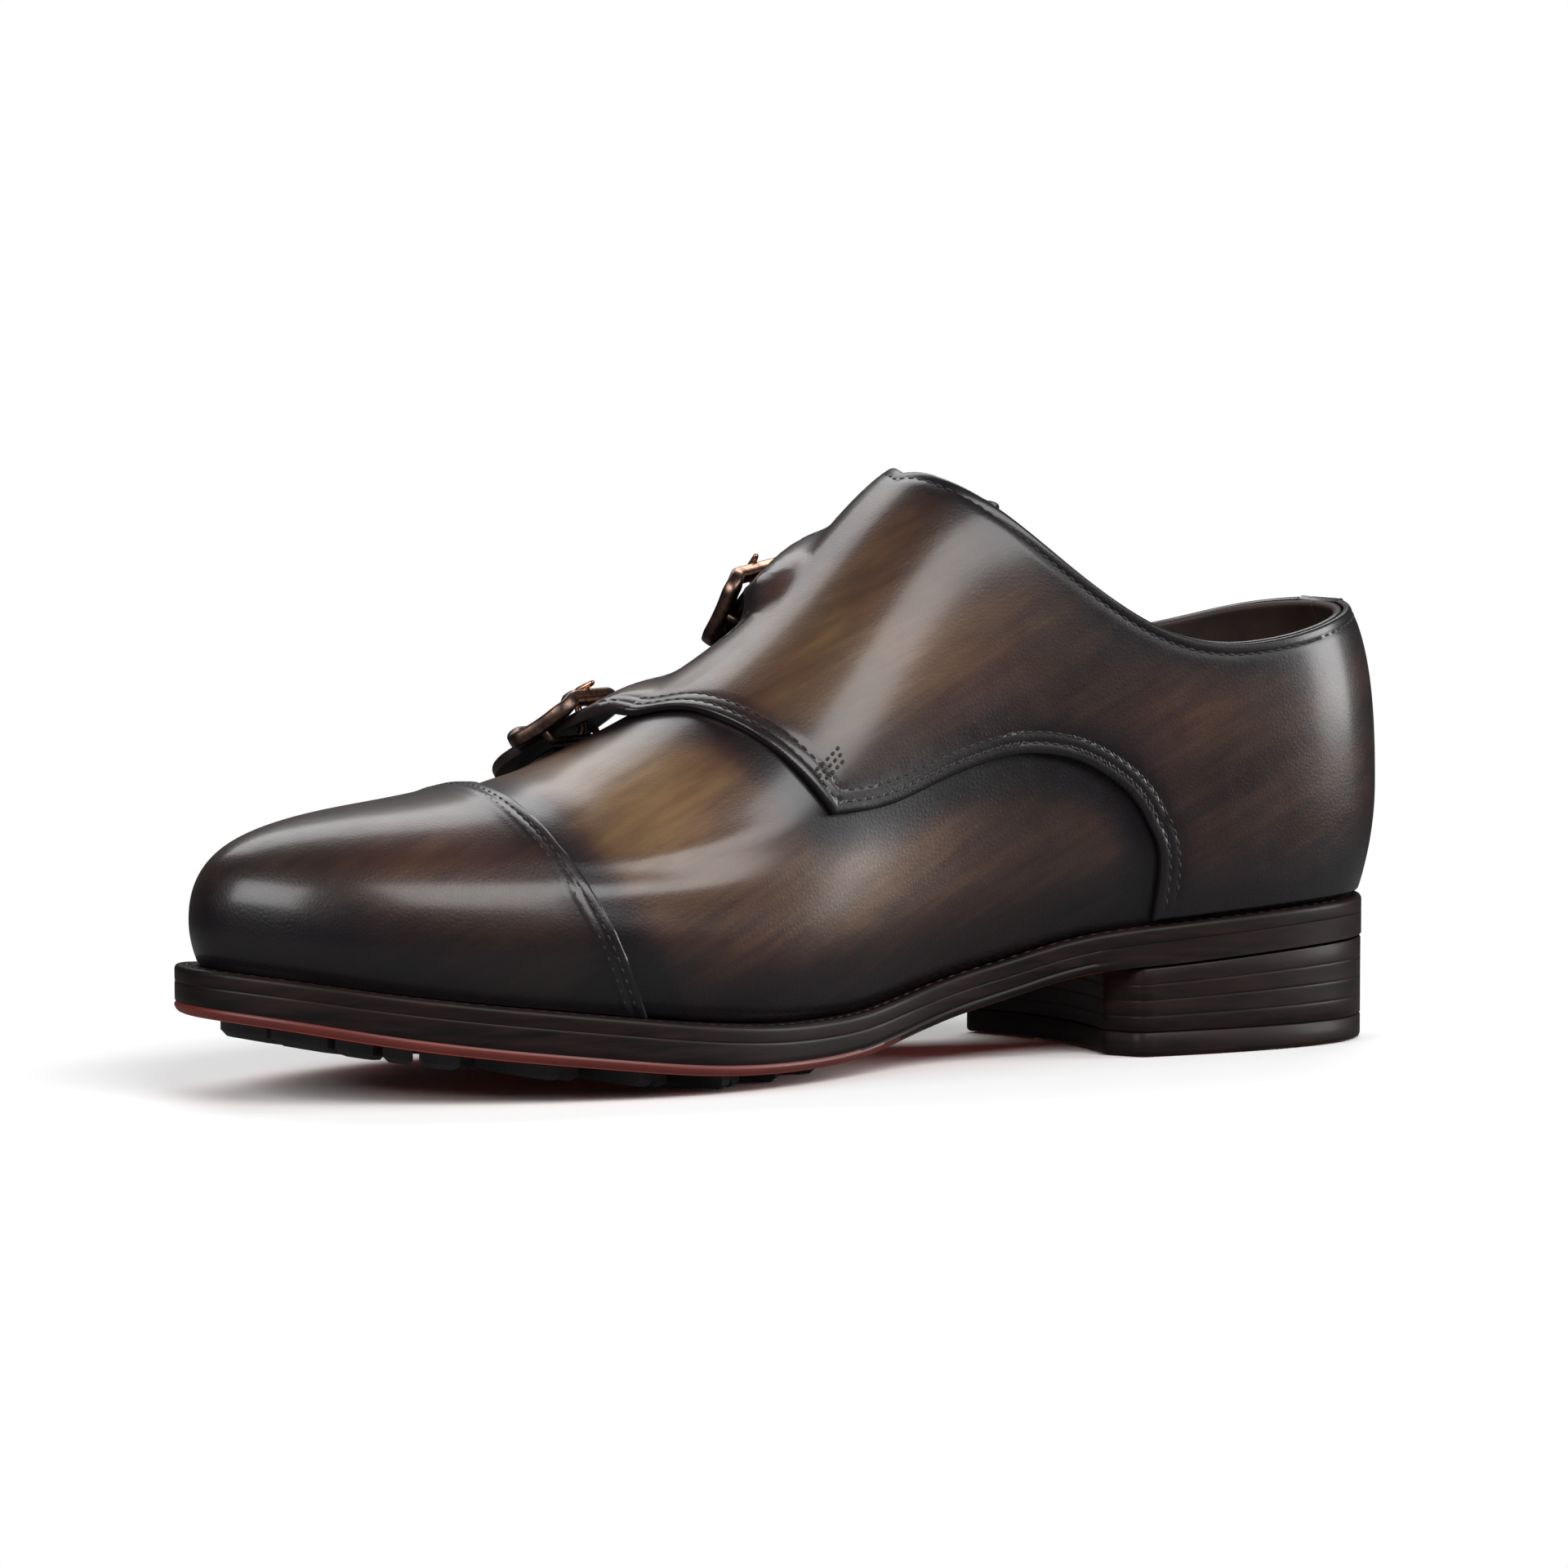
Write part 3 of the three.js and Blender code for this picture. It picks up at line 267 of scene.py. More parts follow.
def upper_base(along, around):
    """Point on the outside of the upper.

    along runs from 0 at the heel to 1 at the toe, and around from 1 at the inner edge over 0 at the
    ridge to -1 at the outer edge.
    """
    along = np.asarray(along, float)
    around = np.asarray(around, float)
    past_heel = along < 0
    past_toe = along > 1
    around = np.where(past_heel | past_toe, -around, around)
    along = np.where(past_heel, -along, np.where(past_toe, 2 - along, along))
    inner = around >= 0
    up = 1 - np.minimum(np.abs(around), 1)
    row = along * ROWS
    edge_x, edge_y = outline_point(inner, row, upper_inset(inner, row))
    top_x = section_ridge(row)
    top_y = ridge_side(top_x)
    reach = np.hypot(edge_x - top_x, edge_y - top_y)
    head_x = (edge_x - top_x) / reach
    head_y = (edge_y - top_y) / reach
    low = welt_top(edge_x) + SEAT_GAP
    wide = reach + np.where(inner, section_inner(row), section_outer(row))
    wide_height = low + section_rise(row)
    top = ridge_height(top_x)
    foot = np.clip(up / EDGE_SHARE, 0, 1)
    foot_out = reach + (wide - reach) * (1 - (1 - foot) ** 2)
    foot_height = low + (wide_height - low) * foot
    part = np.clip((up - EDGE_SHARE) / (1 - EDGE_SHARE), 0, 1)
    back = 1 - part
    slope = (ridge_height(top_x + 1) - ridge_height(top_x - 1)) / 2
    shoulder = section_top(row) * wide
    shoulder_height = top + slope * head_x * shoulder
    side_height = wide_height + section_side(row) * (top - wide_height)
    near_wide = 3 * back ** 2 * part
    near_top = 3 * back * part ** 2
    out = (back ** 3 + near_wide) * wide + near_top * shoulder
    height = back ** 3 * wide_height + near_wide * side_height
    height = height + near_top * shoulder_height + part ** 3 * top
    is_foot = up < EDGE_SHARE
    out = np.where(is_foot, foot_out, out)
    height = np.where(is_foot, foot_height, height)
    return np.stack([top_x + head_x * out, top_y + head_y * out, height], -1)


def upper_normal(along, around):
    """Direction square to the upper's outside."""
    along = np.asarray(along, float)
    around = np.asarray(around, float)
    step = 0.004
    ahead = upper_base(along + step, around) - upper_base(along - step, around)
    low, high = np.maximum(around - step, -1), np.minimum(around + step, 1)
    normal = np.cross(ahead, upper_base(along, high) - upper_base(along, low))
    x = section_ridge(np.minimum(np.abs(along), 1) * ROWS)
    ridge = np.stack([ridge_height(x - 1) - ridge_height(x + 1), 0 * x, 0 * x + 2], -1)
    near_ridge = np.clip(1 - np.abs(around) / 0.03, 0, 1)[..., None]
    length = np.linalg.norm(normal, axis=-1, keepdims=True)
    normal = np.where(length > 1e-9, normal / np.maximum(length, 1e-9), 0)
    normal = normal * (1 - near_ridge) + unit(ridge) * near_ridge
    normal[..., 2] *= np.clip((1 - np.abs(around)) / 0.03, 0, 1)
    return unit(normal)


def unit(vector):
    return vector / np.linalg.norm(vector, axis=-1, keepdims=True)


def offset_point(along, around, distance):
    """Point at a distance above the creased surface of the upper."""
    along = np.asarray(along, float)
    around = np.asarray(around, float)
    rise = np.asarray(distance, float) + relief(np.abs(along), around)
    return upper_base(along, around) + upper_normal(along, around) * rise[..., None]


def collar_around(along):
    """Around value where the collar line crosses each section, or 0 in front of the throat."""
    along = np.atleast_1d(np.asarray(along, float))
    low = np.zeros_like(along)
    high = np.full_like(along, 1 - EDGE_SHARE)
    ridge = upper_base(along, 0 * along)
    open_here = ridge[:, 2] > collar_height(ridge[:, 0])
    for _ in range(40):
        middle = (low + high) / 2
        point = upper_base(along, middle)
        above = point[:, 2] > collar_height(point[:, 0])
        low = np.where(above, middle, low)
        high = np.where(above, high, middle)
    return np.where(open_here, high, 0.0)


def find_throat():
    low, high = 0.2, 0.6
    for _ in range(40):
        middle = (low + high) / 2
        if collar_around(middle)[0] > 0:
            low = middle
        else:
            high = middle
    return high


THROAT = find_throat()


# Making meshes

def to_metres(points):
    points = np.asarray(points, float).copy()
    points[:, 0] -= ORIGIN_X
    return points / 1000.0


def make_piece(name, points, faces, slot, replaced, materials, sharp=None, index=None, tone=None):
    """Mesh object in the frame; sharp is the angle in degrees above which edges stay sharp."""
    mesh = bpy.data.meshes.new(name)
    mesh.from_pydata([tuple(p) for p in to_metres(points)], [], faces)
    if tone is not None:
        layer = mesh.attributes.new("tone", "FLOAT", "POINT")
        layer.data.foreach_set("value", np.asarray(tone, np.float32))
    for material in materials:
        mesh.materials.append(material)
    if index is not None:
        mesh.polygons.foreach_set("material_index", np.asarray(index, np.int32))
    work = bmesh.new()
    work.from_mesh(mesh)
    if work.calc_volume(signed=True) < 0:
        bmesh.ops.reverse_faces(work, faces=work.faces[:])
    loose = [vert for vert in work.verts if not vert.link_faces]
    bmesh.ops.delete(work, geom=loose, context="VERTS")
    work.to_mesh(mesh)
    work.free()
    mesh.polygons.foreach_set("use_smooth", [True] * len(mesh.polygons))
    if sharp is not None:
        mesh.set_sharp_from_angle(angle=math.radians(sharp))
    mesh.update()
    piece = bpy.data.objects.new(name, mesh)
    bpy.context.scene.collection.objects.link(piece)
    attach(piece, "root")
    if replaced:
        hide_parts(*replaced)


def circle(count):
    """Places round a circle of radius 1."""
    turns = np.linspace(0, 2 * math.pi, count, endpoint=False)
    return np.column_stack([np.cos(turns), np.sin(turns)])


def ring_loft(rings, closed_ends=True):
    """Points and faces of a tube through rings of equal length, with one face over each end."""
    count = len(rings[0])
    last = (len(rings) - 1) * count
    faces = []
    for start in range(0, last, count):
        for j in range(count):
            k = (j + 1) % count
            faces.append([start + j, start + k, start + count + k, start + count + j])
    if closed_ends:
        faces += [list(reversed(range(count))), list(range(last, last + count))]
    return np.vstack(rings), faces


def closed_sweep(rings):
    """Points and faces of a tube that runs through all the rings and back to the first."""
    points, faces = ring_loft(rings, False)
    count, last = len(rings[0]), (len(rings) - 1) * len(rings[0])
    return points, faces + [[last + j, last + (j + 1) % count, (j + 1) % count, j] for j in range(count)]


def joined(parts):
    """Points and faces of several parts as one."""
    points, faces, start = [], [], 0
    for part_points, part_faces in parts:
        points.append(part_points)
        faces += [[start + v for v in face] for face in part_faces]
        start += len(part_points)
    return np.vstack(points), faces


def grid_faces(rows, stations, start=0):
    first = [start + i * stations + j for i in range(rows - 1) for j in range(stations - 1)]
    return [[a, a + 1, a + stations + 1, a + stations] for a in first]


def without_repeats(corners):
    return [c for c, after in zip(corners, corners[1:] + corners[:1]) if c != after]


def two_sided(faces, count):
    """Faces of a closed wall: one side, the other side, whose points follow count others, and the rim."""
    edges = {(face[k], face[(k + 1) % len(face)]) for face in faces for k in range(len(face))}
    under = [[v + count for v in reversed(face)] for face in faces]
    return faces + under + [[b, a, a + count, b + count] for a, b in edges if (b, a) not in edges]


# Millimetres of the flat pattern for a step of 1 along and around
PATTERN_SCALE = np.array([390.0, 95.0])


def flat(points):
    return np.asarray(points, float) * PATTERN_SCALE


def resample(points, pitch):
    """Points at an even pitch from the start to the end of a line."""
    points = np.asarray(points, float)
    lengths = np.concatenate([[0], np.cumsum(np.linalg.norm(np.diff(points, axis=0), axis=1))])
    count = max(int(round(lengths[-1] / pitch)), 1)
    targets = np.linspace(0, lengths[-1], count + 1)
    return np.stack([np.interp(targets, lengths, values) for values in points.T], 1)


def spaced(points, pitch):
    """Points and normals at an even pitch along a run."""
    lengths = np.concatenate([[0], np.cumsum(np.linalg.norm(np.diff(points[:, :3], axis=0), axis=1))])
    targets = np.arange(pitch, lengths[-1], pitch)
    return np.stack([np.interp(targets, lengths, values) for values in points.T], 1)


def sewn(along, around, height, pitch):
    """Places and normals of stitches at an even pitch along a line over the upper."""
    return spaced(np.hstack([offset_point(along, around, height), upper_normal(along, around)]), pitch)


def smooth_edge(places):
    """Centripetal curve through along and around values, in pattern millimetres."""
    knots = flat(places)
    ends = np.vstack([2 * knots[0] - knots[1], knots, 2 * knots[-1] - knots[-2]])
    found = []
    for i in range(1, len(ends) - 2):
        p = ends[i - 1:i + 3]
        t = np.concatenate([[0], np.cumsum(np.sqrt(np.linalg.norm(np.diff(p, axis=0), axis=1)))])
        for s in np.linspace(t[1], t[2], 12, endpoint=False):
            a = [(p[k] * (t[k + 1] - s) + p[k + 1] * (s - t[k])) / (t[k + 1] - t[k]) for k in range(3)]
            b = [(a[k] * (t[k + 2] - s) + a[k + 1] * (s - t[k])) / (t[k + 2] - t[k]) for k in range(2)]
            found.append((b[0] * (t[2] - s) + b[1] * (s - t[1])) / (t[2] - t[1]))
    found.append(knots[-1])
    return np.array(found)


def inward_heading(outline):
    """Heading along a closed outline, turned so that the inside is on its left."""
    ahead = np.roll(outline, -1, axis=0)
    area = np.sum(outline[:, 0] * ahead[:, 1] - ahead[:, 0] * outline[:, 1])
    return (ahead - np.roll(outline, 1, axis=0)) * np.sign(area)


def moved_in(outline, inset):
    """Closed outline moved inward, square to itself."""
    heading = unit(inward_heading(outline))
    return outline + inset * np.stack([-heading[:, 1], heading[:, 0]], 1)


def inside_loop(points, loop):
    """Mask of the points that lie inside a closed loop."""
    x, y = points[:, 0][:, None], points[:, 1][:, None]
    ax, ay = loop[:, 0][None, :], loop[:, 1][None, :]
    bx, by = np.roll(loop[:, 0], -1)[None, :], np.roll(loop[:, 1], -1)[None, :]
    crosses = (ay > y) != (by > y)
    slope = np.where(by == ay, 1e-9, by - ay)
    hit = crosses & (x < (bx - ax) * (y - ay) / slope + ax)
    return hit.sum(1) % 2 == 1


def distance_to(points, samples):
    """Distance of each point to the nearest sample."""
    if len(samples) == 0:
        return np.full(len(points), 99.0)
    tree = KDTree(len(samples))
    for i, sample in enumerate(samples):
        tree.insert(sample, i)
    tree.balance()
    return np.array([tree.find(point)[2] for point in points])


def on_upper(points):
    """Points of the upper's outside under places of the pattern."""
    return upper_base(*(points / PATTERN_SCALE).T)


def surface_axes(points, step):
    """Steps on the surface for a millimetre along and around in the pattern."""
    return [(on_upper(points + shift) - on_upper(points - shift)) / (2 * step) for shift in step * np.eye(2)]


def pattern_step(step, u, v):
    """Step in the pattern for a step on the surface, where u and v are the surface axes."""
    uu, uv, vv = (u * u).sum(-1), (u * v).sum(-1), (v * v).sum(-1)
    su, sv = (step * u).sum(-1), (step * v).sum(-1)
    scale = np.maximum(uu * vv - uv * uv, 1e-9)
    return np.stack([(su * vv - sv * uv) / scale, (sv * uu - su * uv) / scale], -1)


GROOVE_DEPTH = 0.28
GROOVE_HALF = 0.45
RIM_RADIUS = 0.8
RIM_RINGS = (0.2, 0.5, 0.9, 1.5)
RIM_PITCH = 1.1
RIM_SHARE = 0.93
SEAM_ROWS = (2.5, 5.0)
STITCH_PITCH = 2.7
THREAD_LENGTH = 2.1
THREAD_WIDTH = 0.62


def grooved(height, distances):
    """Height with a groove along each sewn row, from the distances to the edges that the rows follow."""
    for row, distance in zip(SEAM_ROWS, distances):
        height = height - GROOVE_DEPTH * hill(distance, row, GROOVE_HALF)
    return height


class Panel:
    """Leather piece cut from a flat pattern and laid on the upper, with a rounded rim and sewn rows.

    Each loop is a list of (points, rows) stretches in pattern millimetres, where rows is the number of
    sewn rows beside that stretch.
    """

    def __init__(self, loops, near, far, cell=2.0, holes=()):
        self.near, self.far = near, far
        outlines, counts = [], []
        for loop in loops:
            points, marks = [], []
            for part, rows in loop:
                part = resample(part, RIM_PITCH)
                points.extend(part[:-1])
                marks.extend([rows] * (len(part) - 1))
            points = np.array(points)
            keep = np.linalg.norm(points - np.roll(points, 1, axis=0), axis=1) > 0.05
            outlines.append(points[keep])
            counts.append(np.array(marks)[keep])
        self.find_border(outlines, counts)
        inner = self.inner_places(outlines, cell)
        verts, edges = [], []
        for outline in [*outlines, *holes]:
            start, count = len(verts), len(outline)
            verts += [Vector(p) for p in outline]
            edges += [(start + i, start + (i + 1) % count) for i in range(count)]
        verts += [Vector(p) for p in inner]
        found, _, faces, _, _, _ = delaunay_2d_cdt(verts, edges, [], 1, 1e-4)
        self.points = np.array([tuple(v) for v in found])
        self.faces = np.array([list(face) for face in faces])
        for hole in holes:
            self.faces = self.faces[~inside_loop(self.points[self.faces].mean(1), hole)]
        base = on_upper(self.points)
        self.distance = distance_to(base, self.doubled(self.edge))
        self.row_distance = []
        for number in range(len(SEAM_ROWS)):
            self.row_distance.append(distance_to(base, self.doubled(self.edge[self.marks > number])))

    def find_border(self, outlines, counts):
        """Places round the panel, with the step inward and the number of sewn rows at each."""
        border, inward, marks = [], [], []
        for number, points in enumerate(outlines):
            open_edge = np.ones(len(points), bool)
            for other, outline in enumerate(outlines):
                if other != number:
                    open_edge &= ~inside_loop(points, outline)
            u, v = surface_axes(points, 0.5)
            heading = inward_heading(points)
            step = np.cross(np.cross(u, v), u * heading[:, :1] + v * heading[:, 1:])
            step /= np.maximum(np.linalg.norm(step, axis=1, keepdims=True), 1e-9)
            border.append(points[open_edge])
            inward.append(pattern_step(step, u, v)[open_edge])
            marks.append(counts[number][open_edge])
        self.border = np.vstack(border)
        self.inward = np.vstack(inward)
        self.marks = np.concatenate(marks)
        self.edge = on_upper(self.border)

    def inner_places(self, outlines, cell):
        """Rings of places beside the border and a grid over the rest."""
        rings = list(RIM_RINGS)
        for row in SEAM_ROWS:
            rings += [row - GROOVE_HALF, row, row + GROOVE_HALF]
        extra = []
        for ring in rings:
            points = self.border + self.inward * ring
            extra.append(points[distance_to(on_upper(points), self.edge) > RIM_SHARE * ring])
        low, high = self.border.min(0), self.border.max(0)
        across = np.arange(low[1], high[1], cell)
        lines = [np.arange(low[0] + (i % 2) * cell / 2, high[0], cell) for i in range(len(across))]
        grid = np.array([(x, y) for line, y in zip(lines, across) for x in line])
        extra.append(grid[distance_to(on_upper(grid), self.edge) > max(rings) + 0.6 * cell])
        inner = np.vstack(extra)
        covered = np.zeros(len(inner), bool)
        for outline in outlines:
            covered |= inside_loop(inner, outline)
        return inner[covered]

    @staticmethod
    def doubled(edge):
        """Points of an edge and the middles between neighbours."""
        ahead = np.roll(edge, -1, axis=0)
        near = np.linalg.norm(ahead - edge, axis=1) < 3
        return np.vstack([edge, (edge[near] + ahead[near]) / 2])

    def build(self, name):
        """Closed piece with leather above and lining below."""
        along, around = (self.points / PATTERN_SCALE).T
        drop = np.clip(1 - self.distance / RIM_RADIUS, 0, 1)
        top = self.far(along, around) - 0.75 * RIM_RADIUS * (1 - np.sqrt(1 - drop ** 2))
        heights = (grooved(top, self.row_distance), self.near(along, around))
        points = np.vstack([offset_point(along, around, height) for height in heights])
        faces = two_sided(self.faces.tolist(), len(self.points))
        index = np.zeros(len(faces))
        index[len(self.faces):2 * len(self.faces)] = 1
        seam = np.min(self.row_distance, axis=0)
        tone = upper_tone(points, np.concatenate([self.distance, 0 * self.distance]), np.tile(seam, 2))
        make_piece(name + "_leather", points, faces, "upper_leather", (name,), [LEATHER_SKIN, LINING],
                   40, index, tone)

    def stitches(self, number):
        """Places and normals of the stitches along one sewn row, in runs."""
        row = SEAM_ROWS[number]
        points = self.border + self.inward * row
        good = (self.marks > number) & (distance_to(on_upper(points), self.edge) > RIM_SHARE * row)
        runs, run = [], []
        for i, point in enumerate(points):
            if run and (not good[i] or np.linalg.norm(point - run[-1]) > 6):
                runs.append(run)
                run = []
            if good[i]:
                run.append(point)
        runs.append(run)
        found = []
        for run in runs:
            if len(run) > 3:
                along, around = (np.array(run) / PATTERN_SCALE).T
                found.append(sewn(along, around, self.far(along, around) - GROOVE_DEPTH, STITCH_PITCH))
        return found


# Shading of the hand-coloured leather

# Lighter and darker places: length along the shoe, height, side (1 inner, -1 outer, 0 both),
# half sizes along and across, tilt in degrees, amount
PATCHES = [
    (203, 62, 0, 26, 16, -20, 0.42),
    (150, 46, 1, 46, 12, -12, 0.36),
    (150, 98, 1, 30, 20, -35, 0.34),
    (118, 104, 1, 26, 10, -30, 0.16),
    (60, 78, 0, 22, 9, -8, 0.22),
    (22, 66, 0, 16, 12, 0, 0.16),
    (225, 48, 0, 22, 14, -15, 0.10),
    (262, 50, 0, 14, 10, -20, 0.12),
    (168, 66, -1, 40, 16, -10, 0.25),
    (110, 76, -1, 40, 12, -10, 0.22),
    (110, 60, 1, 34, 14, -20, -0.14),
    (292, 26, 0, 26, 20, 0, -0.38),
    (5, 44, 0, 26, 26, 0, -0.14),
    (36, 84, 0, 56, 36, 0, -0.09),
]
MIDDLE_TONE = 0.42
WELT_SHADE, WELT_REACH = 0.34, 22
RIM_SHADE, RIM_REACH = 0.30, 8
SEAM_SHADE, SEAM_REACH = 0.20, 14
STROKE_TURN = 26


def upper_tone(points, rim, seam):
    """How light the colour is at points of the upper, from 0 to 1."""
    x, y, z = points.T
    tone = np.full(len(points), MIDDLE_TONE)
    for place, height, side, long, wide, tilt, amount in PATCHES:
        turn = math.radians(tilt)
        u = (x - place) * math.cos(turn) + (z - height) * math.sin(turn)
        v = (z - height) * math.cos(turn) - (x - place) * math.sin(turn)
        share = hill(u, 0, long) * hill(v, 0, wide)
        if side:
            share = share * soft(0.5 + side * y / 30)
        tone = tone + amount * share
    tone = tone - WELT_SHADE * (1 - soft((z - welt_top(x)) / WELT_REACH))
    tone = tone - RIM_SHADE * (1 - soft(rim / RIM_REACH)) - SEAM_SHADE * (1 - soft(seam / SEAM_REACH))
    return np.clip(tone, 0, 1)


class Nodes:
    """Nodes of a material or of the surroundings, round its shader."""

    def __init__(self, owner, shader="Principled BSDF"):
        owner.use_nodes = True
        self.owner = owner
        self.tree = owner.node_tree
        self.shader = self.tree.nodes[shader]

    def feed(self, node, inputs):
        """Give inputs of a node their values, or links from the outputs of other nodes."""
        for name, value in inputs.items():
            if isinstance(value, bpy.types.NodeSocket):
                self.tree.links.new(value, node.inputs[name])
            else:
                node.inputs[name].default_value = value

    def shade(self, inputs):
        self.feed(self.shader, inputs)

    def add(self, kind, output, inputs, **settings):
        """Output of a new node."""
        node = self.tree.nodes.new("ShaderNode" + kind)
        for key, value in settings.items():
            setattr(node, key, value)
        self.feed(node, inputs)
        return node.outputs[output]

    def place(self):
        return self.add("TexCoord", "Object", {})

    def noise(self, scale, detail=3.0, stretch=(1, 1, 1), turn=0.0):
        vector = self.add("Mapping", "Vector", {
            "Vector": self.place(),
            "Scale": [1 / share for share in stretch],
            "Rotation": (0, math.radians(turn), 0),
        }, vector_type="TEXTURE")
        return self.add("TexNoise", "Fac", {"Vector": vector, "Scale": scale, "Detail": detail})

    def grain(self, size):
        inputs = {"Vector": self.place(), "Scale": 1 / size}
        return self.add("TexVoronoi", "Distance", inputs, feature="DISTANCE_TO_EDGE")

    def combine(self, kind, *values):
        return self.add("Math", "Value", dict(enumerate(values)), operation=kind)

    def ramp(self, factor, stops):
        node = self.tree.nodes.new("ShaderNodeValToRGB")
        elements = node.color_ramp.elements
        while len(elements) < len(stops):
            elements.new(0.5)
        for element, (position, colour) in zip(elements, stops):
            element.position = position
            element.color = (*colour, 1)
        self.feed(node, {"Fac": factor})
        return node.outputs["Color"]

    def bump(self, layers):
        """Chain of bump nodes: (height, strength, distance in metres)."""
        normal = {}
        for height, strength, distance in layers:
            inputs = {"Height": height, "Strength": strength, "Distance": distance, **normal}
            normal = {"Normal": self.add("Bump", "Normal", inputs)}
        self.shade(normal)


def patina_leather():
    skin = Nodes(bpy.data.materials.new("hand_coloured_leather"))
    mixed = skin.add("Attribute", "Fac", {}, attribute_name="tone")
    for strength, layer in (
        (0.46, skin.noise(1, 4, (22, 60, 130), STROKE_TURN)),
        (0.26, skin.noise(38)),
        (0.24, skin.noise(1, 3, (45, 260, 520), STROKE_TURN)),
    ):
        mixed = skin.combine("MULTIPLY_ADD", layer, strength, mixed)
    brown = skin.ramp(skin.combine("SUBTRACT", mixed, 0.48), [
        (0.05, (0.005, 0.004, 0.005)),
        (0.28, (0.012, 0.007, 0.007)),
        (0.50, (0.030, 0.016, 0.011)),
        (0.72, (0.072, 0.043, 0.020)),
        (0.95, (0.150, 0.103, 0.042)),
    ])
    wine = skin.add("Mix", "Result", {
        "A": brown,
        "B": (1.10, 0.74, 0.92, 1),
        "Factor": skin.combine("MULTIPLY_ADD", skin.noise(24, 2), 1.6, -0.45),
    }, data_type="RGBA", blend_type="MULTIPLY")
    skin.shade({
        "Base Color": wine,
        "Roughness": skin.combine("MULTIPLY_ADD", skin.noise(160), 0.16, 0.33),
        "Coat Weight": 0.5,
        "Coat Roughness": 0.21,
        "Specular IOR Level": 0.22,
    })
    skin.bump([
        (skin.noise(45), 0.35, 0.0012),
        (skin.grain(0.0011), 0.35, 0.0002),
        (skin.noise(1500, 2), 0.20, 0.0001),
    ])
    return skin.owner


def plain_leather(name, dark, light, roughness, coat, scale, stretch=(1, 1, 1), depth=0.0001, gloss=0.35):
    skin = Nodes(bpy.data.materials.new(name))
    spread = skin.noise(scale, 4, stretch)
    skin.shade({
        "Base Color": skin.ramp(spread, [(0.3, dark), (0.7, light)]),
        "Roughness": skin.combine("MULTIPLY_ADD", spread, 0.2, roughness - 0.1),
        "Coat Weight": coat,
        "Coat Roughness": 0.2,
        "Specular IOR Level": gloss,
    })
    skin.bump([(skin.noise(scale * 8, 3, stretch), 0.35, depth)])
    return skin.owner


def metal(name, dark, light, roughness):
    skin = Nodes(bpy.data.materials.new(name))
    worn = skin.noise(420, 4)
    skin.shade({
        "Base Color": skin.ramp(worn, [(0.38, dark), (0.62, light)]),
        "Metallic": 1.0,
        "Roughness": skin.combine("MULTIPLY_ADD", worn, -0.2, roughness + 0.1),
    })
    skin.bump([(skin.noise(900, 2), 0.15, 0.0001)])
    return skin.owner


LEATHER_SKIN = patina_leather()
LINING = plain_leather("lining_leather", (0.020, 0.012, 0.010), (0.036, 0.020, 0.016), 0.62, 0.0, 120)
EDGE = plain_leather("waxed_edge", (0.004, 0.003, 0.003), (0.015, 0.006, 0.006), 0.48, 0.05, 60,
                     (1, 1, 9), 0.00005, 0.16)
RED_SOLE = plain_leather("dyed_sole", (0.29, 0.027, 0.014), (0.38, 0.038, 0.019), 0.5, 0.1, 40)
# Darker copy of the red sole for the rounded lip: partly wax burnish from the edge, partly painted shade
# where the lip turns down
RED_LIP_BURNISH_AND_SHADE = plain_leather("red_lip_burnish_and_painted_shade", (0.075, 0.010, 0.007), (0.12, 0.016, 0.010), 0.45, 0.1, 40)
RUBBER_SKIN = plain_leather("black_rubber", (0.011, 0.011, 0.012), (0.020, 0.020, 0.021), 0.5, 0.0, 90)
THREAD = plain_leather("dark_thread", (0.010, 0.008, 0.008), (0.024, 0.016, 0.013), 0.6, 0.0, 900)
WELT_THREAD = plain_leather("welt_thread", (0.016, 0.011, 0.009), (0.040, 0.024, 0.018), 0.6, 0.0, 900)
COPPER = metal("antique_copper", (0.20, 0.105, 0.070), (0.52, 0.28, 0.18), 0.26)
GUNMETAL = metal("dark_bronze", (0.060, 0.040, 0.034), (0.17, 0.105, 0.080), 0.34)
BRASS = metal("brass_nail", (0.33, 0.20, 0.08), (0.62, 0.42, 0.18), 0.30)


def stitch(spot, ahead, length, width):
    """Small rounded stitch on a place with its normal."""
    ahead = unit(ahead)
    normal = unit(spot[3:])
    side = np.cross(normal, ahead)
    rings = []
    for share in np.linspace(-0.5, 0.5, 5):
        radius = width / 2 * math.sqrt(max(1 - (2 * share) ** 4, 0.04))
        sink = 0.12 - 0.35 * width * (2 * share) ** 2
        centre = spot[:3] + ahead * share * length + normal * sink
        rings.append(centre + radius * circle(6) @ [side, normal * 0.75])
    return ring_loft(rings)


def stitch_mesh(name, rows, material, slot, length=THREAD_LENGTH, width=THREAD_WIDTH):
    """One mesh of stitches; each row holds points with their normals."""
    stitches = []
    for row in rows:
        if len(row) > 1:
            heading = np.gradient(row[:, :3], axis=0)
            stitches += [stitch(spot, ahead, length, width) for spot, ahead in zip(row, heading)]
    make_piece(name, *joined(stitches), slot, (), [material])


# Straps and buckles: centre on the upper, turn towards the toe in degrees, stand-off, length back into the
# flap, and where the rear side starts and stops to widen into the flap and by how much
STRAPS = [
    {"name": "front", "along": 0.597, "around": -0.25, "turn": 30, "lift": 3.8, "back": 38,
     "flare": (17, 34.6, 6.8)},
    {"name": "rear", "along": 0.466, "around": -0.31, "turn": 8, "lift": 5.4, "back": 40,
     "flare": (24, 38, 6.5)},
]
STRAP_WIDTH = 19.0
STRAP_TIP = 23.0
TIP_RADIUS = 9.0
PRONG_HOLE = 1.5
HOLE_PLACE = -3.4
NOTCH_PLACE = -5.2
NOTCH_RADIUS = 3.0

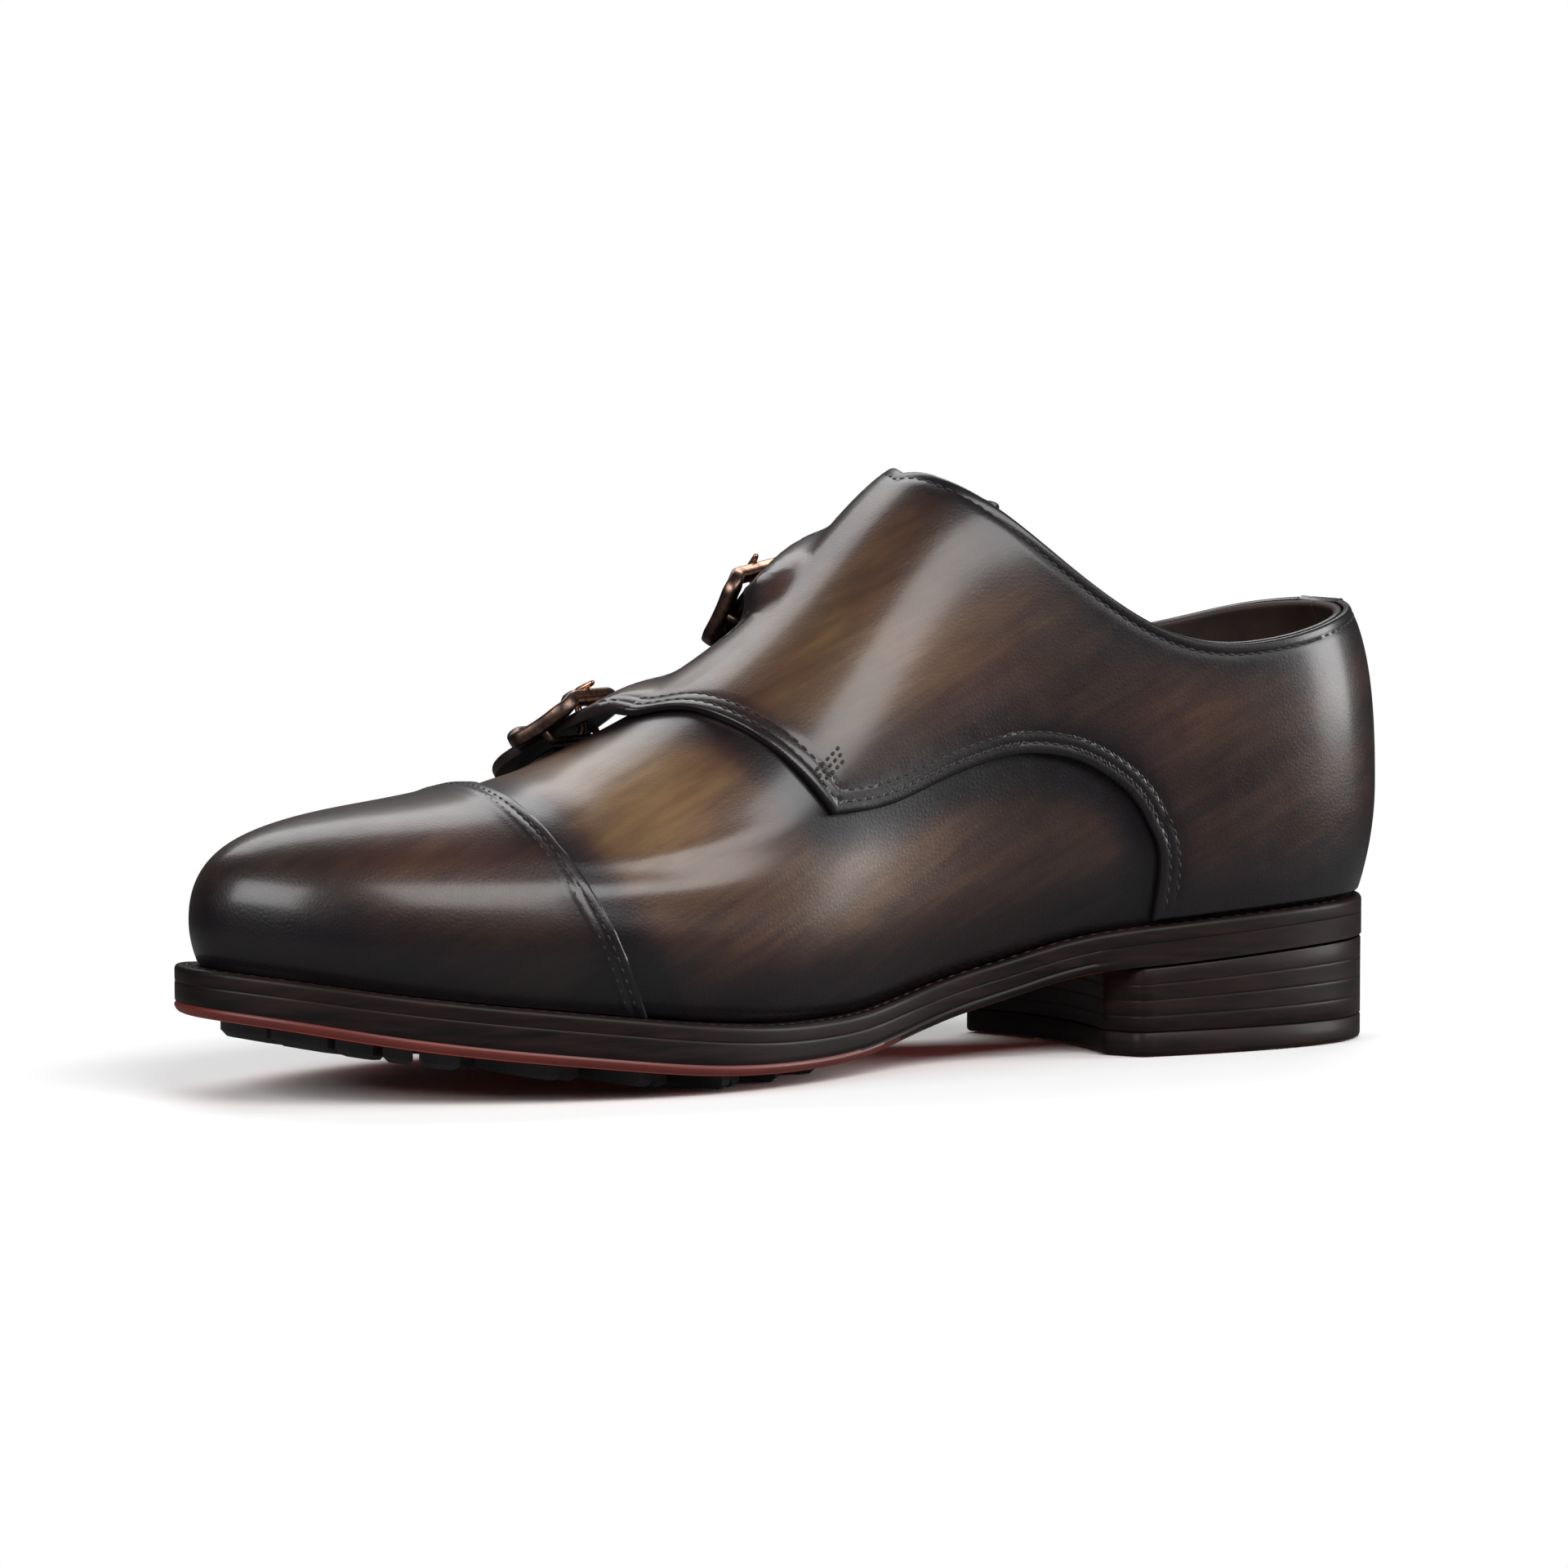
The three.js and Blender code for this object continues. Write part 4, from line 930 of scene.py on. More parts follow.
for strap in STRAPS:
    centre = flat([strap["along"], strap["around"]])
    strap["centre"] = centre
    strap["base"] = on_upper(centre[None])[0]
    strap["normal"] = upper_normal(strap["along"], strap["around"])
    strap["u"], strap["v"] = (axis[0] for axis in surface_axes(centre[None], 1.0))
    down = unit(-strap["v"])
    toeward = unit(np.cross(down, strap["normal"]))
    toeward = toeward * np.sign(toeward[0])
    turn = math.radians(strap["turn"])
    strap["forward"] = down * math.cos(turn) + toeward * math.sin(turn)
    strap["across"] = unit(np.cross(strap["normal"], strap["forward"]))


def strap_place(strap, points):
    """Millimetres along and across the strap of places in the pattern."""
    shift = points - strap["centre"]
    step = shift[..., :1] * strap["u"] + shift[..., 1:] * strap["v"]
    return step @ strap["forward"], step @ strap["across"]


def strap_points(strap, places):
    """Places in the pattern of millimetres along and across the strap."""
    step = np.asarray(places, float) @ [strap["forward"], strap["across"]]
    return pattern_step(step, strap["u"], strap["v"]) + strap["centre"]


def flap_height(along, around):
    """Height of the flap and its straps above the upper."""
    points = np.stack([along, around], -1) * PATTERN_SCALE
    height = np.full(len(points), OVERLAY_GAP)
    for strap in STRAPS:
        x, y = strap_place(strap, points)
        rise = (strap["lift"] - OVERLAY_GAP) * soft((x + 26) / 12)
        rise = rise * soft((STRAP_WIDTH - np.abs(y)) / 8) * soft(-around / 0.08)
        height = np.maximum(height, OVERLAY_GAP + rise)
    return height


def flap_top(along, around):
    return flap_height(along, around) + LEATHER + (STRAP - LEATHER) * soft((0.02 - around) / 0.1)


def constant(value):
    return lambda along, around: np.full(len(along), float(value))


# Heel strip and quarters
HEEL_AROUND = 228
STRIP_HALF = 10.0 / HEEL_AROUND
STRIP_GAP = 0.5 / HEEL_AROUND
STRIP_THICKNESS = 2.0
COLLAR_DROP = 0.006
STRIP_FOOT = 0.993
strip_top = collar_around(STRIP_HALF)[0] + COLLAR_DROP
strip_share = np.linspace(0, 1, 13)
strip_edge = np.column_stack([STRIP_HALF * (1 + 0.35 * (1 - strip_share) ** 2),
                              STRIP_FOOT + (strip_top - STRIP_FOOT) * strip_share])


def collar_run(start, end, mirror, count):
    along = np.linspace(start, end, count)
    return flat(np.stack([along, mirror * (collar_around(along) + COLLAR_DROP)], 1))


def first_along(limit):
    """Where the collar first comes as near to the ridge as the limit."""
    along = np.arange(0.3, THROAT, 0.001)
    return along[collar_around(along) <= limit][0]


def link(first, second):
    """Straight stretch from the end of one line to the start of the next."""
    return np.vstack([first[-1:], second[:1]])


LOWER_SEAM = [(0.513, 0.59), (0.47, 0.645), (0.42, 0.68), (0.375, 0.7), (0.336, 0.74), (0.308, 0.795),
              (0.296, 0.86), (0.295, STRIP_FOOT)]
FLAP_FRONT = [(0.6005, -0.08), (0.5925, -0.03), (0.584, 0.03), (0.575, 0.1), (0.562, 0.22), (0.547, 0.34),
              (0.531, 0.46), (0.513, 0.59)]
FLAP_SIDE = [(0.44, -0.125), (0.5, -0.12), (0.55, -0.14)]
OUTER_FRONT = [(0.396, -0.23), (0.43, -0.25), (0.47, -0.31), (0.505, -0.42), (0.513, -0.59)]
mirror_around = np.array([1, -1])
beside_strip = flat(strip_edge + [STRIP_GAP, 0])
collar_inner = np.vstack([
    collar_run(STRIP_HALF + STRIP_GAP, THROAT - 0.002, 1, 90),
    flat([(THROAT + 0.003, 0)]),
    collar_run(THROAT - 0.002, first_along(0.11), -1, 12),
])
front = smooth_edge(FLAP_FRONT)
seam = smooth_edge(LOWER_SEAM)
inner_loop = [
    (beside_strip, 0),
    (collar_inner, 1),
    (np.vstack([collar_inner[-1:], flat(FLAP_SIDE), front[:1]]), 1),
    (front, 2),
    (seam, 2),
    (link(seam, beside_strip), 0),
]


def strap_loop(strap):
    half = STRAP_WIDTH / 2
    turns = np.linspace(-math.pi / 2, math.pi / 2, 17)
    tip = np.column_stack([STRAP_TIP - TIP_RADIUS + TIP_RADIUS * np.cos(turns), half * np.sin(turns)])
    x = np.linspace(-strap["back"], STRAP_TIP - TIP_RADIUS - 1, 40)
    start, end, amount = strap["flare"]
    rear = half + amount * np.clip((-start - x) / (end - start), 0, 1) ** 2
    toe = np.linspace(STRAP_TIP - TIP_RADIUS - 1, -20, 24)
    shape = [np.column_stack([x, -rear]), tip, np.column_stack([toe, 0 * toe + half]), [(x[0], -rear[0])]]
    return [(strap_points(strap, np.vstack(shape)), 1)]


def notch_loop(strap):
    """Round bottom of the notch between the rear strap and the flap."""
    turns = np.radians(np.linspace(270, 132, 13))
    arc = np.column_stack([NOTCH_PLACE + NOTCH_RADIUS * np.cos(turns),
                           STRAP_WIDTH / 2 + NOTCH_RADIUS * (1 + np.sin(turns))])
    return [(strap_points(strap, np.vstack([[(-20, 6)], arc, [(-20, 8), (-20, 6)]])), 1)]


inner_quarter = Panel(
    [inner_loop, *(strap_loop(strap) for strap in STRAPS), notch_loop(STRAPS[1])],
    flap_height,
    flap_top,
    holes=[strap_points(strap, [HOLE_PLACE, 0] + PRONG_HOLE * circle(14)) for strap in STRAPS],
)
outer_strip = beside_strip * mirror_around
outer_collar = collar_run(STRIP_HALF + STRIP_GAP, first_along(0.215), -1, 80)
outer_front = smooth_edge(OUTER_FRONT)
outer_seam = seam * mirror_around
outer_loop = [
    (outer_strip, 0),
    (outer_collar, 1),
    (link(outer_collar, outer_front), 2),
    (outer_front, 2),
    (outer_seam, 2),
    (link(outer_seam, outer_strip), 0),
]
outer_quarter = Panel([outer_loop], constant(OVERLAY_GAP), constant(OVERLAY_GAP + LEATHER))
strip_right = flat(strip_edge)
strip_left = flat(strip_edge * [-1, 1])[::-1]
strip_loop = [
    (strip_right, 1),
    (link(strip_right, strip_left), 0),
    (strip_left, 1),
    (link(strip_left, strip_right), 0),
]
back_strip = Panel([strip_loop], constant(OVERLAY_GAP), constant(OVERLAY_GAP + STRIP_THICKNESS), cell=1.8)
TONGUE_EDGE = [(0.47, 0.3), (0.43, 0.3), (0.4, 0.28), (0.374, 0.22), (0.36, 0.12), (0.356, 0), (0.36, -0.12),
               (0.374, -0.22), (0.4, -0.28), (0.43, -0.3), (0.47, -0.3)]
TONGUE_TOP = -UPPER_WALL - 1.8
TONGUE_DROP = 6.0


def tongue_top(along, around):
    """The tip of the tongue leans inward behind the throat."""
    return TONGUE_TOP - TONGUE_DROP * soft((0.415 - along) / 0.06) ** 1.5


tongue_edge = smooth_edge(TONGUE_EDGE)
tongue = Panel(
    [[(tongue_edge, 1), (link(tongue_edge, tongue_edge), 0)]],
    lambda along, around: tongue_top(along, around) - TONGUE_THICKNESS,
    tongue_top,
)
panels = {
    "inner_quarter": inner_quarter,
    "outer_quarter": outer_quarter,
    "back_strip": back_strip,
    "tongue": tongue,
}
TAB_THICKNESS = 1.3
TAB_SHAPE = [(3, -6), (18, -6), (20, 0), (18, 6), (3, 6), (3, -6)]
for strap in STRAPS:
    low = OVERLAY_GAP + LEATHER + SEAT_GAP if strap["name"] == "rear" else OVERLAY_GAP
    tab_loop = [(strap_points(strap, TAB_SHAPE), 1)]
    panels["tab_" + strap["name"]] = Panel([tab_loop], constant(low), constant(low + TAB_THICKNESS), cell=1.5)
for name, panel in panels.items():
    panel.build(name)


# Upper and toe cap on grids of along and around values
def joined_grid(sides):
    """Places of two grids with shared places joined, the number of each in the grids, and faces."""
    places = np.vstack([side.reshape(-1, 2) for side in sides])
    keys = np.round(upper_base(*places.T) * 200).astype(int)
    _, first, number = np.unique(keys, axis=0, return_index=True, return_inverse=True)
    number = number.ravel().tolist()
    faces, start = [], 0
    for turned, side in enumerate(sides):
        rows, stations = side.shape[:2]
        for quad in grid_faces(rows, stations, start):
            kept = without_repeats([number[c] for c in (reversed(quad) if turned else quad)])
            if len(kept) > 2:
                faces.append(kept)
        start += rows * stations
    return places[first], first, faces


def two_walled(places, far, near):
    """Points of a wall between two heights over the upper."""
    return np.vstack([offset_point(*places.T, height) for height in (far, near)])


UPPER_RIM = 1.1
RIM_DROP = 0.8
SIDE_LENGTH = 95


def upper_side(mirror):
    """Grid over one side of the upper and the distance of its places from the collar."""
    rear = THROAT * (1 - (1 - np.linspace(0, 1, 90)) ** 1.5)
    along = np.concatenate([rear, np.linspace(THROAT, 1, 131)[1:]])
    top = np.where(along < THROAT, collar_around(along), 0)[:, None]
    share = np.concatenate([np.linspace(0, 0.965, 56), [0.975, 0.985, 0.993, 1.0]])
    around = 1 + (top - 1) * share
    rim = np.where(top > 0, (1 - share) * (1 - top) * SIDE_LENGTH, 99.0)
    return np.stack([np.broadcast_to(along[:, None], around.shape), mirror * around], -1), rim


sides, rims = zip(upper_side(1), upper_side(-1))
places, first, faces = joined_grid(sides)
rim = np.concatenate([values.ravel() for values in rims])[first]
drop = RIM_DROP * (1 - np.sqrt(1 - np.clip(1 - rim / UPPER_RIM, 0, 1) ** 2))
points = two_walled(places, -drop, -UPPER_WALL + drop)
CAP_RIDGE = 0.71
CAP_SWEEP = 0.063
# Millimetres along the ridge for a step of 1 along
CAP_ALONG = 393.0


def cap_line(around, distance=0.0):
    """Along value of a line at a distance in front of the toe cap's edge."""
    return CAP_RIDGE - CAP_SWEEP * around ** 2 + distance / CAP_ALONG


across = np.linspace(-1, 1, 240)
cap_edge = upper_base(cap_line(across), across)
near_edge = distance_to(upper_base(*places.T), np.vstack([cap_edge, inner_quarter.edge, outer_quarter.edge]))
tone = upper_tone(points, np.tile(near_edge * 0.7, 2), np.tile(near_edge, 2))
index = [0] * len(faces) + [1] * len(faces)
faces = two_sided(faces, len(places))
index += [1] * (len(faces) - len(index))
make_piece("upper_leather_body", points, faces, "upper_leather", ("upper",), [LEATHER_SKIN, LINING],
           None, index, tone)

CAP_BORDER = 6.0
CAP_COLUMNS = np.array([0, 0.25, 0.6, 1.0, 1.6, 2.05, 2.5, 2.95, 3.7, 4.55, 5.0, 5.45, 6.0, 6.8, 8.0])


def cap_side(mirror):
    around = 1 - np.linspace(0, 1, 58)
    near = cap_line(around, CAP_COLUMNS[:, None])
    far = near[-1] + (1 - near[-1]) * np.linspace(0, 1, 64)[1:, None]
    along = np.vstack([near, far])
    return np.stack([along, np.broadcast_to(mirror * around, along.shape)], -1)


places, _, faces = joined_grid([cap_side(1), cap_side(-1)])
distance = distance_to(upper_base(*places.T), cap_edge)
height = OVERLAY_GAP + LEATHER - 0.6 * (1 - np.sqrt(1 - np.clip(1 - distance / RIM_RADIUS, 0, 1) ** 2))
height = grooved(height - 0.35 * soft((distance - CAP_BORDER + 0.9) / 1.8), [distance, distance])
points = two_walled(places, height, np.full(len(places), OVERLAY_GAP))
tone = upper_tone(points, np.tile(distance, 2), np.tile(np.abs(distance - 3.7), 2))
make_piece("toe_cap_leather", points, two_sided(faces, len(places)), "upper_leather", ("toe_cap",),
           [LEATHER_SKIN], 40, None, tone)

BAR_TACK = flat([(0.510, 0.50)])


def bar_tack():
    """Three short rows of stitches just above the flap's lower corner."""
    rows = []
    for step in (0.0, 1.5, 3.0):
        line = BAR_TACK + np.array([[-4.2 + 1.4 * k, 0.25 * k] for k in range(7)]) + [0.15 * step, -step]
        along, around = (line / PATTERN_SCALE).T
        rows.append(sewn(along, around, flap_top(along, around) - 0.1, 1.9))
    return rows


def cap_row(row):
    around = np.linspace(0.985, -0.985, 400)
    height = np.full(400, OVERLAY_GAP + LEATHER - GROOVE_DEPTH)
    return sewn(cap_line(around, row), around, height, STITCH_PITCH)


stitch_mesh("flap_bar_tack", bar_tack(), THREAD, "upper_leather", 1.7, 0.8)
stitch_mesh("toe_cap_stitches", [cap_row(row) for row in SEAM_ROWS], THREAD, "upper_leather")
for name in ("inner_quarter", "outer_quarter", "back_strip", "tongue"):
    panel = panels[name]
    rows = panel.stitches(0) + (panel.stitches(1) if (panel.marks > 1).any() else [])
    stitch_mesh(name + "_stitches", rows, THREAD, "upper_leather")


# Welt, outsole and insole: rings round the sole from a section of (inset, height) places
STATIONS = 150
ROUND = 2 * STATIONS


def sole_ring(inset_at, height_at):
    outline = closed_outline(inset_at, STATIONS)
    return np.column_stack([outline, height_at(outline[:, 0])])


def fixed(inset):
    return lambda inner, rows: np.full(len(rows), float(inset))


def above(base, shift):
    return lambda x: base(x) + shift


def inside_upper(extra, share=1.0):
    """Inset to the hidden inner side of the upper's wall, plus an extra, times a share."""
    return lambda inner, rows: (upper_inset(inner, rows) + UPPER_WALL + extra) * share


def sole_stitches(name, line, left_out, facing, pitch, thread, slot, length, width):
    """Row of stitches on a line round the sole, with some stations left out round the heel."""
    run = line[left_out:-left_out]
    normals = np.tile([0.0, 0.0, facing], (len(run), 1))
    stitch_mesh(name, [spaced(np.hstack([run, normals]), pitch)], thread, slot, length, width)


welt_section = [
    (inside_upper(0.2), outsole_top, 0.02),
    (inside_upper(0.2), welt_top, 0.0),
    (fixed(3.5), welt_top, 0.0),
    (fixed(3.1), welt_top, -0.25),
    (fixed(2.7), welt_top, -0.35),
    (fixed(2.3), welt_top, -0.25),
    (fixed(1.9), welt_top, 0.0),
    (fixed(0.9), welt_top, -0.05),
    (fixed(0.35), welt_top, -0.3),
    (fixed(0.05), welt_top, -0.8),
    (fixed(0.0), welt_top, -1.3),
    (fixed(0.0), outsole_top, 0.5),
    (fixed(0.05), outsole_top, 0.15),
    (fixed(0.12), outsole_top, 0.02),
]
points, faces = closed_sweep([sole_ring(inset, above(base, shift)) for inset, base, shift in welt_section])
make_piece("welt_strip", points, faces, "edge_leather", ("welt",), [EDGE], 50)
welt_line = sole_ring(fixed(2.7), above(welt_top, -0.35))
sole_stitches("welt_stitches", welt_line, 22, 1.0, 3.4, WELT_THREAD, "edge_leather", 2.7, 0.9)

HEEL_FRONT = 80.0
LIP = (0.30, 0.0, 2.55)
# Inset, share of the thickness and shift of the height
OUTSOLE_SECTION = [
    (12.0, 1.0, 0.0),
    (0.14, 1.0, 0.0),
    (0.03, 1.0, -0.2),
    (0.0, 1.0, -0.6),
    (0.0, 0.55, 0.0),
    (0.05, 0.0, 2.9),
    LIP,
    (-0.05, 0.0, 2.1),
    (-0.10, 0.0, 1.6),
    (0.25, 0.0, 0.9),
    (0.9, 0.0, 0.35),
    (1.9, 0.0, 0.06),
    (3.2, 0.0, 0.0),
    (7.4, 0.0, 0.0),
    (7.8, 0.0, 0.22),
    (8.2, 0.0, 0.5),
    (8.6, 0.0, 0.22),
    (9.0, 0.0, 0.0),
    (12.0, 0.0, 0.0),
]
# Rings between the lip and the plain red face; in front of the waist, darker red: partly burnish, partly
# painted shade
EDGE_RINGS = 4


def level(share, shift):
    return lambda x: sole_bottom(x) + share * (outsole_top(x) - sole_bottom(x)) + shift


def edge_inset(inset):
    """The edge is shaped in front of the heel and plain above it."""
    if inset > 1:
        return fixed(inset)
    return lambda inner, rows: inset * soft((outline_x(rows) - HEEL_FRONT) / 8)


def capped_sole(rings):
    """Loft of rings round the sole, closed across the sole at both ends."""
    points, faces = ring_loft(rings, False)
    for turned, start in ((True, 0), (False, len(points) - ROUND)):
        for i in range(STATIONS):
            corners = [start + i, start + i + 1, start + (ROUND - i - 1) % ROUND, start + (ROUND - i) % ROUND]
            kept = without_repeats(corners)
            faces.append(kept[::-1] if turned else kept)
    return points, faces


rings = [sole_ring(edge_inset(inset), level(share, shift)) for inset, share, shift in OUTSOLE_SECTION]
points, faces = capped_sole(rings)
ring_of_face = np.repeat(np.arange(len(rings) - 1), ROUND)
middle_x = np.array([points[face, 0].mean() for face in faces[:len(ring_of_face)]])
waist = soft((0.53 - middle_x / SOLE_LENGTH) / 0.12)
lip = OUTSOLE_SECTION.index(LIP)
dark = ring_of_face < lip + np.round(EDGE_RINGS * waist)
# Material 2 is the darker red lip: partly burnish, partly painted shade on the downward rounding
index = np.where(dark, 0, np.where(ring_of_face < lip + EDGE_RINGS, 2, 1))
index = np.concatenate([index, np.repeat([0, 1], STATIONS)])
make_piece("outsole_leather", points, faces, "sole_leather", ("outsole",), [EDGE, RED_SOLE, RED_LIP_BURNISH_AND_SHADE],
           60, index)
channel = sole_ring(fixed(8.2), above(sole_bottom, 0.35))
sole_stitches("channel_stitches", channel, 46, -1.0, 3.6, THREAD, "sole_leather", 2.8, 0.8)

insole_section = [(8.8, SEAT_GAP), (0.8, SEAT_GAP), (0.8, INSOLE_THICKNESS - 0.6), (1.4, INSOLE_THICKNESS),
                  (8.8, INSOLE_THICKNESS)]
points, faces = capped_sole([
    sole_ring(inside_upper(extra), above(outsole_top, height)) for extra, height in insole_section])
make_piece("insole_lining", points, faces, "lining_leather", ("insole",), [LINING], 50)

# Heel: block with lift lines, then a top piece of leather with a rubber tip at its rear outer corner
BREAST_MIDDLE = 0.255 * SOLE_LENGTH
BREAST_DEPTH = 7.0
BREAST_CORNER = 8.0
HEEL_INSET = 0.15
HEEL_PITCH = 1.6
TIP_PITCH = 1.2
RUBBER_LIFT = 0.10


def heel_outline():
    """Sole outline behind the breast, closed by the hollow breast with one cut corner."""
    reach = BREAST_MIDDLE + BREAST_DEPTH
    rows = np.arange(2, 6, 0.01)
    inner_x, inner_y = outline_point(True, rows, HEEL_INSET)
    last = np.argmax(inner_x >= reach)
    corner_inner = inner_y[last]
    corner_outer = outline_point(False, rows[last], HEEL_INSET)[1]
    inner = np.column_stack(outline_point(True, np.linspace(0, rows[last], 72), HEEL_INSET))
    outer = np.column_stack(outline_point(False, np.linspace(rows[last], 0, 72), HEEL_INSET))
    cut = corner_inner - BREAST_CORNER
    y = cut + (corner_outer - cut) * np.linspace(0, 1, 49)
    bow = np.minimum((2 * y / (corner_inner - corner_outer)) ** 2, 1)
    breast = np.column_stack([BREAST_MIDDLE + BREAST_DEPTH * bow, y])
    kept = inner[inner[:, 0] < reach - BREAST_CORNER]
    corner = [(reach - BREAST_CORNER, corner_inner)]
    return resample(np.vstack([kept, corner, breast, outer[1:-1], inner[:1]]), HEEL_PITCH)[:-1]


heel = heel_outline()
LIFT_LINES = (0.25, 0.5, 0.75)
heel_section = [(0.3, 0.0, 0.0), (0.0, 0.0, 0.35)]
for line in LIFT_LINES:
    heel_section += [(0.0, line, -0.6), (0.0, line, -0.12), (0.05, line, -0.04)]
    heel_section += [(0.05, line, 0.04), (0.0, line, 0.12), (0.0, line, 0.6)]
heel_section += [(0.0, 1.0, -0.5), (0.25, 1.0, 0.0)]
rings = []
for inset, share, shift in heel_section:
    outline = moved_in(heel, inset)
    low, top = TOP_PIECE + 0.05, sole_bottom(outline[:, 0]) - SEAT_GAP
    rings.append(np.column_stack([outline, low + share * (top - low) + shift]))
make_piece("heel_stack_leather", *ring_loft(rings), "edge_leather", ("heel_stack",), [EDGE], 50)

tip_start = np.array([0.16 * SOLE_LENGTH, -0.4 * BALL_WIDTH])
tip_end = np.array([0.012 * SOLE_LENGTH, 0.26 * BALL_WIDTH])
tip_along = unit(tip_end - tip_start)
tip_across = np.array([tip_along[1], -tip_along[0]])


def cut_outline(outline, side):
    """Part of a closed outline on one side of the line between rubber and leather."""
    depth = side * ((outline - tip_start) @ tip_across)
    kept = []
    for i, point in enumerate(outline):
        j = (i + 1) % len(outline)
        if depth[i] >= 0:
            kept.append(point)
        if (depth[i] >= 0) != (depth[j] >= 0):
            kept.append(point + (outline[j] - point) * depth[i] / (depth[i] - depth[j]))
    return resample(kept + kept[:1], TIP_PITCH)[:-1]


top_section = [(1.0, 0.10), (0.55, 0.16), (0.12, 0.6), (0.0, 1.1), (0.0, TOP_PIECE - 0.3), (0.3, TOP_PIECE)]
for name, node, side, low, slot, skins in (
    ("heel_rubber", "heel_rubber_tip", -1, RUBBER_LIFT, "rubber", [RUBBER_SKIN]),
    ("heel_top_piece", "heel_top_leather", 1, 0.0, "sole_leather", [EDGE, RED_SOLE]),
):
    outline = cut_outline(heel, side)
    rings = [np.insert(moved_in(outline, inset), 2, height - low, 1) for inset, height in top_section]
    index = None
    if len(skins) > 1:
        index = [1] * len(outline) + [0] * (len(outline) * (len(rings) - 2)) + [1, 0]
    make_piece(name, *ring_loft(rings), slot, (node,), skins, 50, index)

# Brass nails in threes: centre shares of length and ball width, turn in degrees
NAILS = [(0.065, 0.2, 60), (0.125, 0.255, 85), (0.2, 0.25, 90), (0.215, -0.25, 90), (0.245, -0.12, 30)]
NAIL_RADIUS = 1.1
NAIL_STEP = 4.2
NAIL_SECTION = [(NAIL_RADIUS, 0.5), (NAIL_RADIUS, 0.06), (NAIL_RADIUS * 0.7, 0.02)]
nails = []
for x, y, turn in NAILS:
    heading = np.array([math.cos(math.radians(turn)), math.sin(math.radians(turn))])
    for step in (-NAIL_STEP, 0.0, NAIL_STEP):
        middle = np.array([x * SOLE_LENGTH, y * BALL_WIDTH]) + step * heading
        nails.append(ring_loft([np.insert(middle + radius * circle(14), 2, height, 1)
                                for radius, height in NAIL_SECTION]))
make_piece("heel_nails", *joined(nails), "buckle_metal", (), [BRASS], 50)


# Rubber tread: blocks with bevelled rims and a groove in the running face
def tread_low(x):
    return np.maximum(sole_bottom(x) - LUG_HEIGHT, 0)


def bevelled(rim, length, count):
    """Places from 0 to a length that lie closer together over the rims at both ends."""
    inside = np.linspace(rim[-1], length - rim[-1], count)[1:-1]
    return np.concatenate([rim, inside, length - np.array(rim[::-1])])


def block(name, grid, depth):
    """Lug over a grid of (x, y) places; depth raises the running face at each place."""
    places = grid.reshape(-1, 2)
    top = sole_bottom(places[:, 0]) - SEAT_GAP
    low = np.minimum(tread_low(places[:, 0]) + depth.ravel(), top - 0.2)
    points = np.vstack([np.column_stack([places, height]) for height in (low, top)])
    faces = two_sided(grid_faces(*grid.shape[:2]), len(places))
    make_piece(name + "_rubber", points, faces, "rubber", (name,), [RUBBER_SKIN], 28)


# Side lugs: centre as shares of length and ball width, size in millimetres, turn in degrees
SIDE_LUGS = [
    ("lug_outer_1", 0.858, -0.106, 29.0, 10.0, -42),
    ("lug_outer_2", 0.812, -0.182, 27.0, 10.5, -50),
    ("lug_outer_3", 0.757, -0.242, 27.0, 12.5, -58),
    ("lug_outer_4", 0.685, -0.268, 25.5, 14.0, -73),
    ("lug_outer_5", 0.604, -0.264, 24.0, 18.0, -90),
    ("lug_inner_1", 0.775, 0.292, 21.0, 11.0, 115),
    ("lug_inner_2", 0.707, 0.303, 22.0, 12.0, 122),
    ("lug_inner_3", 0.646, 0.284, 24.0, 11.5, 132),
    ("lug_inner_4", 0.599, 0.212, 26.5, 10.5, 143),
    ("lug_inner_5", 0.549, 0.109, 27.5, 12.5, 146),
]
BEVEL = 1.1
SIDE_GROOVE = 2.4
SLANT = 1.6
TOE_GROOVE = 2.0
for name, x, y, long, wide, turn in SIDE_LUGS:
    u = bevelled((0, 0.35, BEVEL), long, 30) - long / 2
    v = bevelled((0, 0.06, 0.11), 1, 17) - 0.5
    uu, vv = np.meshgrid(u, v, indexing="ij")
    width = wide * (0.92 + 0.08 * uu / (long / 2))
    across = vv * width
    edge = np.minimum(long / 2 - np.abs(uu), width / 2 - np.abs(across))
    bevel = BEVEL * (1 - np.clip(edge / BEVEL, 0, 1))
    groove = np.clip(1 - np.abs(across) / (0.12 * wide), 0, 1) * soft((uu + 0.22 * long) / 1.5)
    slant_start = -0.24 * long - uu
    facet = np.clip(0.5 - np.abs(across) / wide, 0, 1) * soft(slant_start)
    slant = SLANT * facet * np.clip(slant_start / (0.2 * long), 0, 1)
    depth = np.maximum(bevel, SIDE_GROOVE * groove) + slant
    angle = math.radians(turn)
    grid = np.stack([x * SOLE_LENGTH + uu * math.cos(angle) - across * math.sin(angle),
                     y * BALL_WIDTH + uu * math.sin(angle) + across * math.cos(angle)], -1)
    block(name, grid, depth)

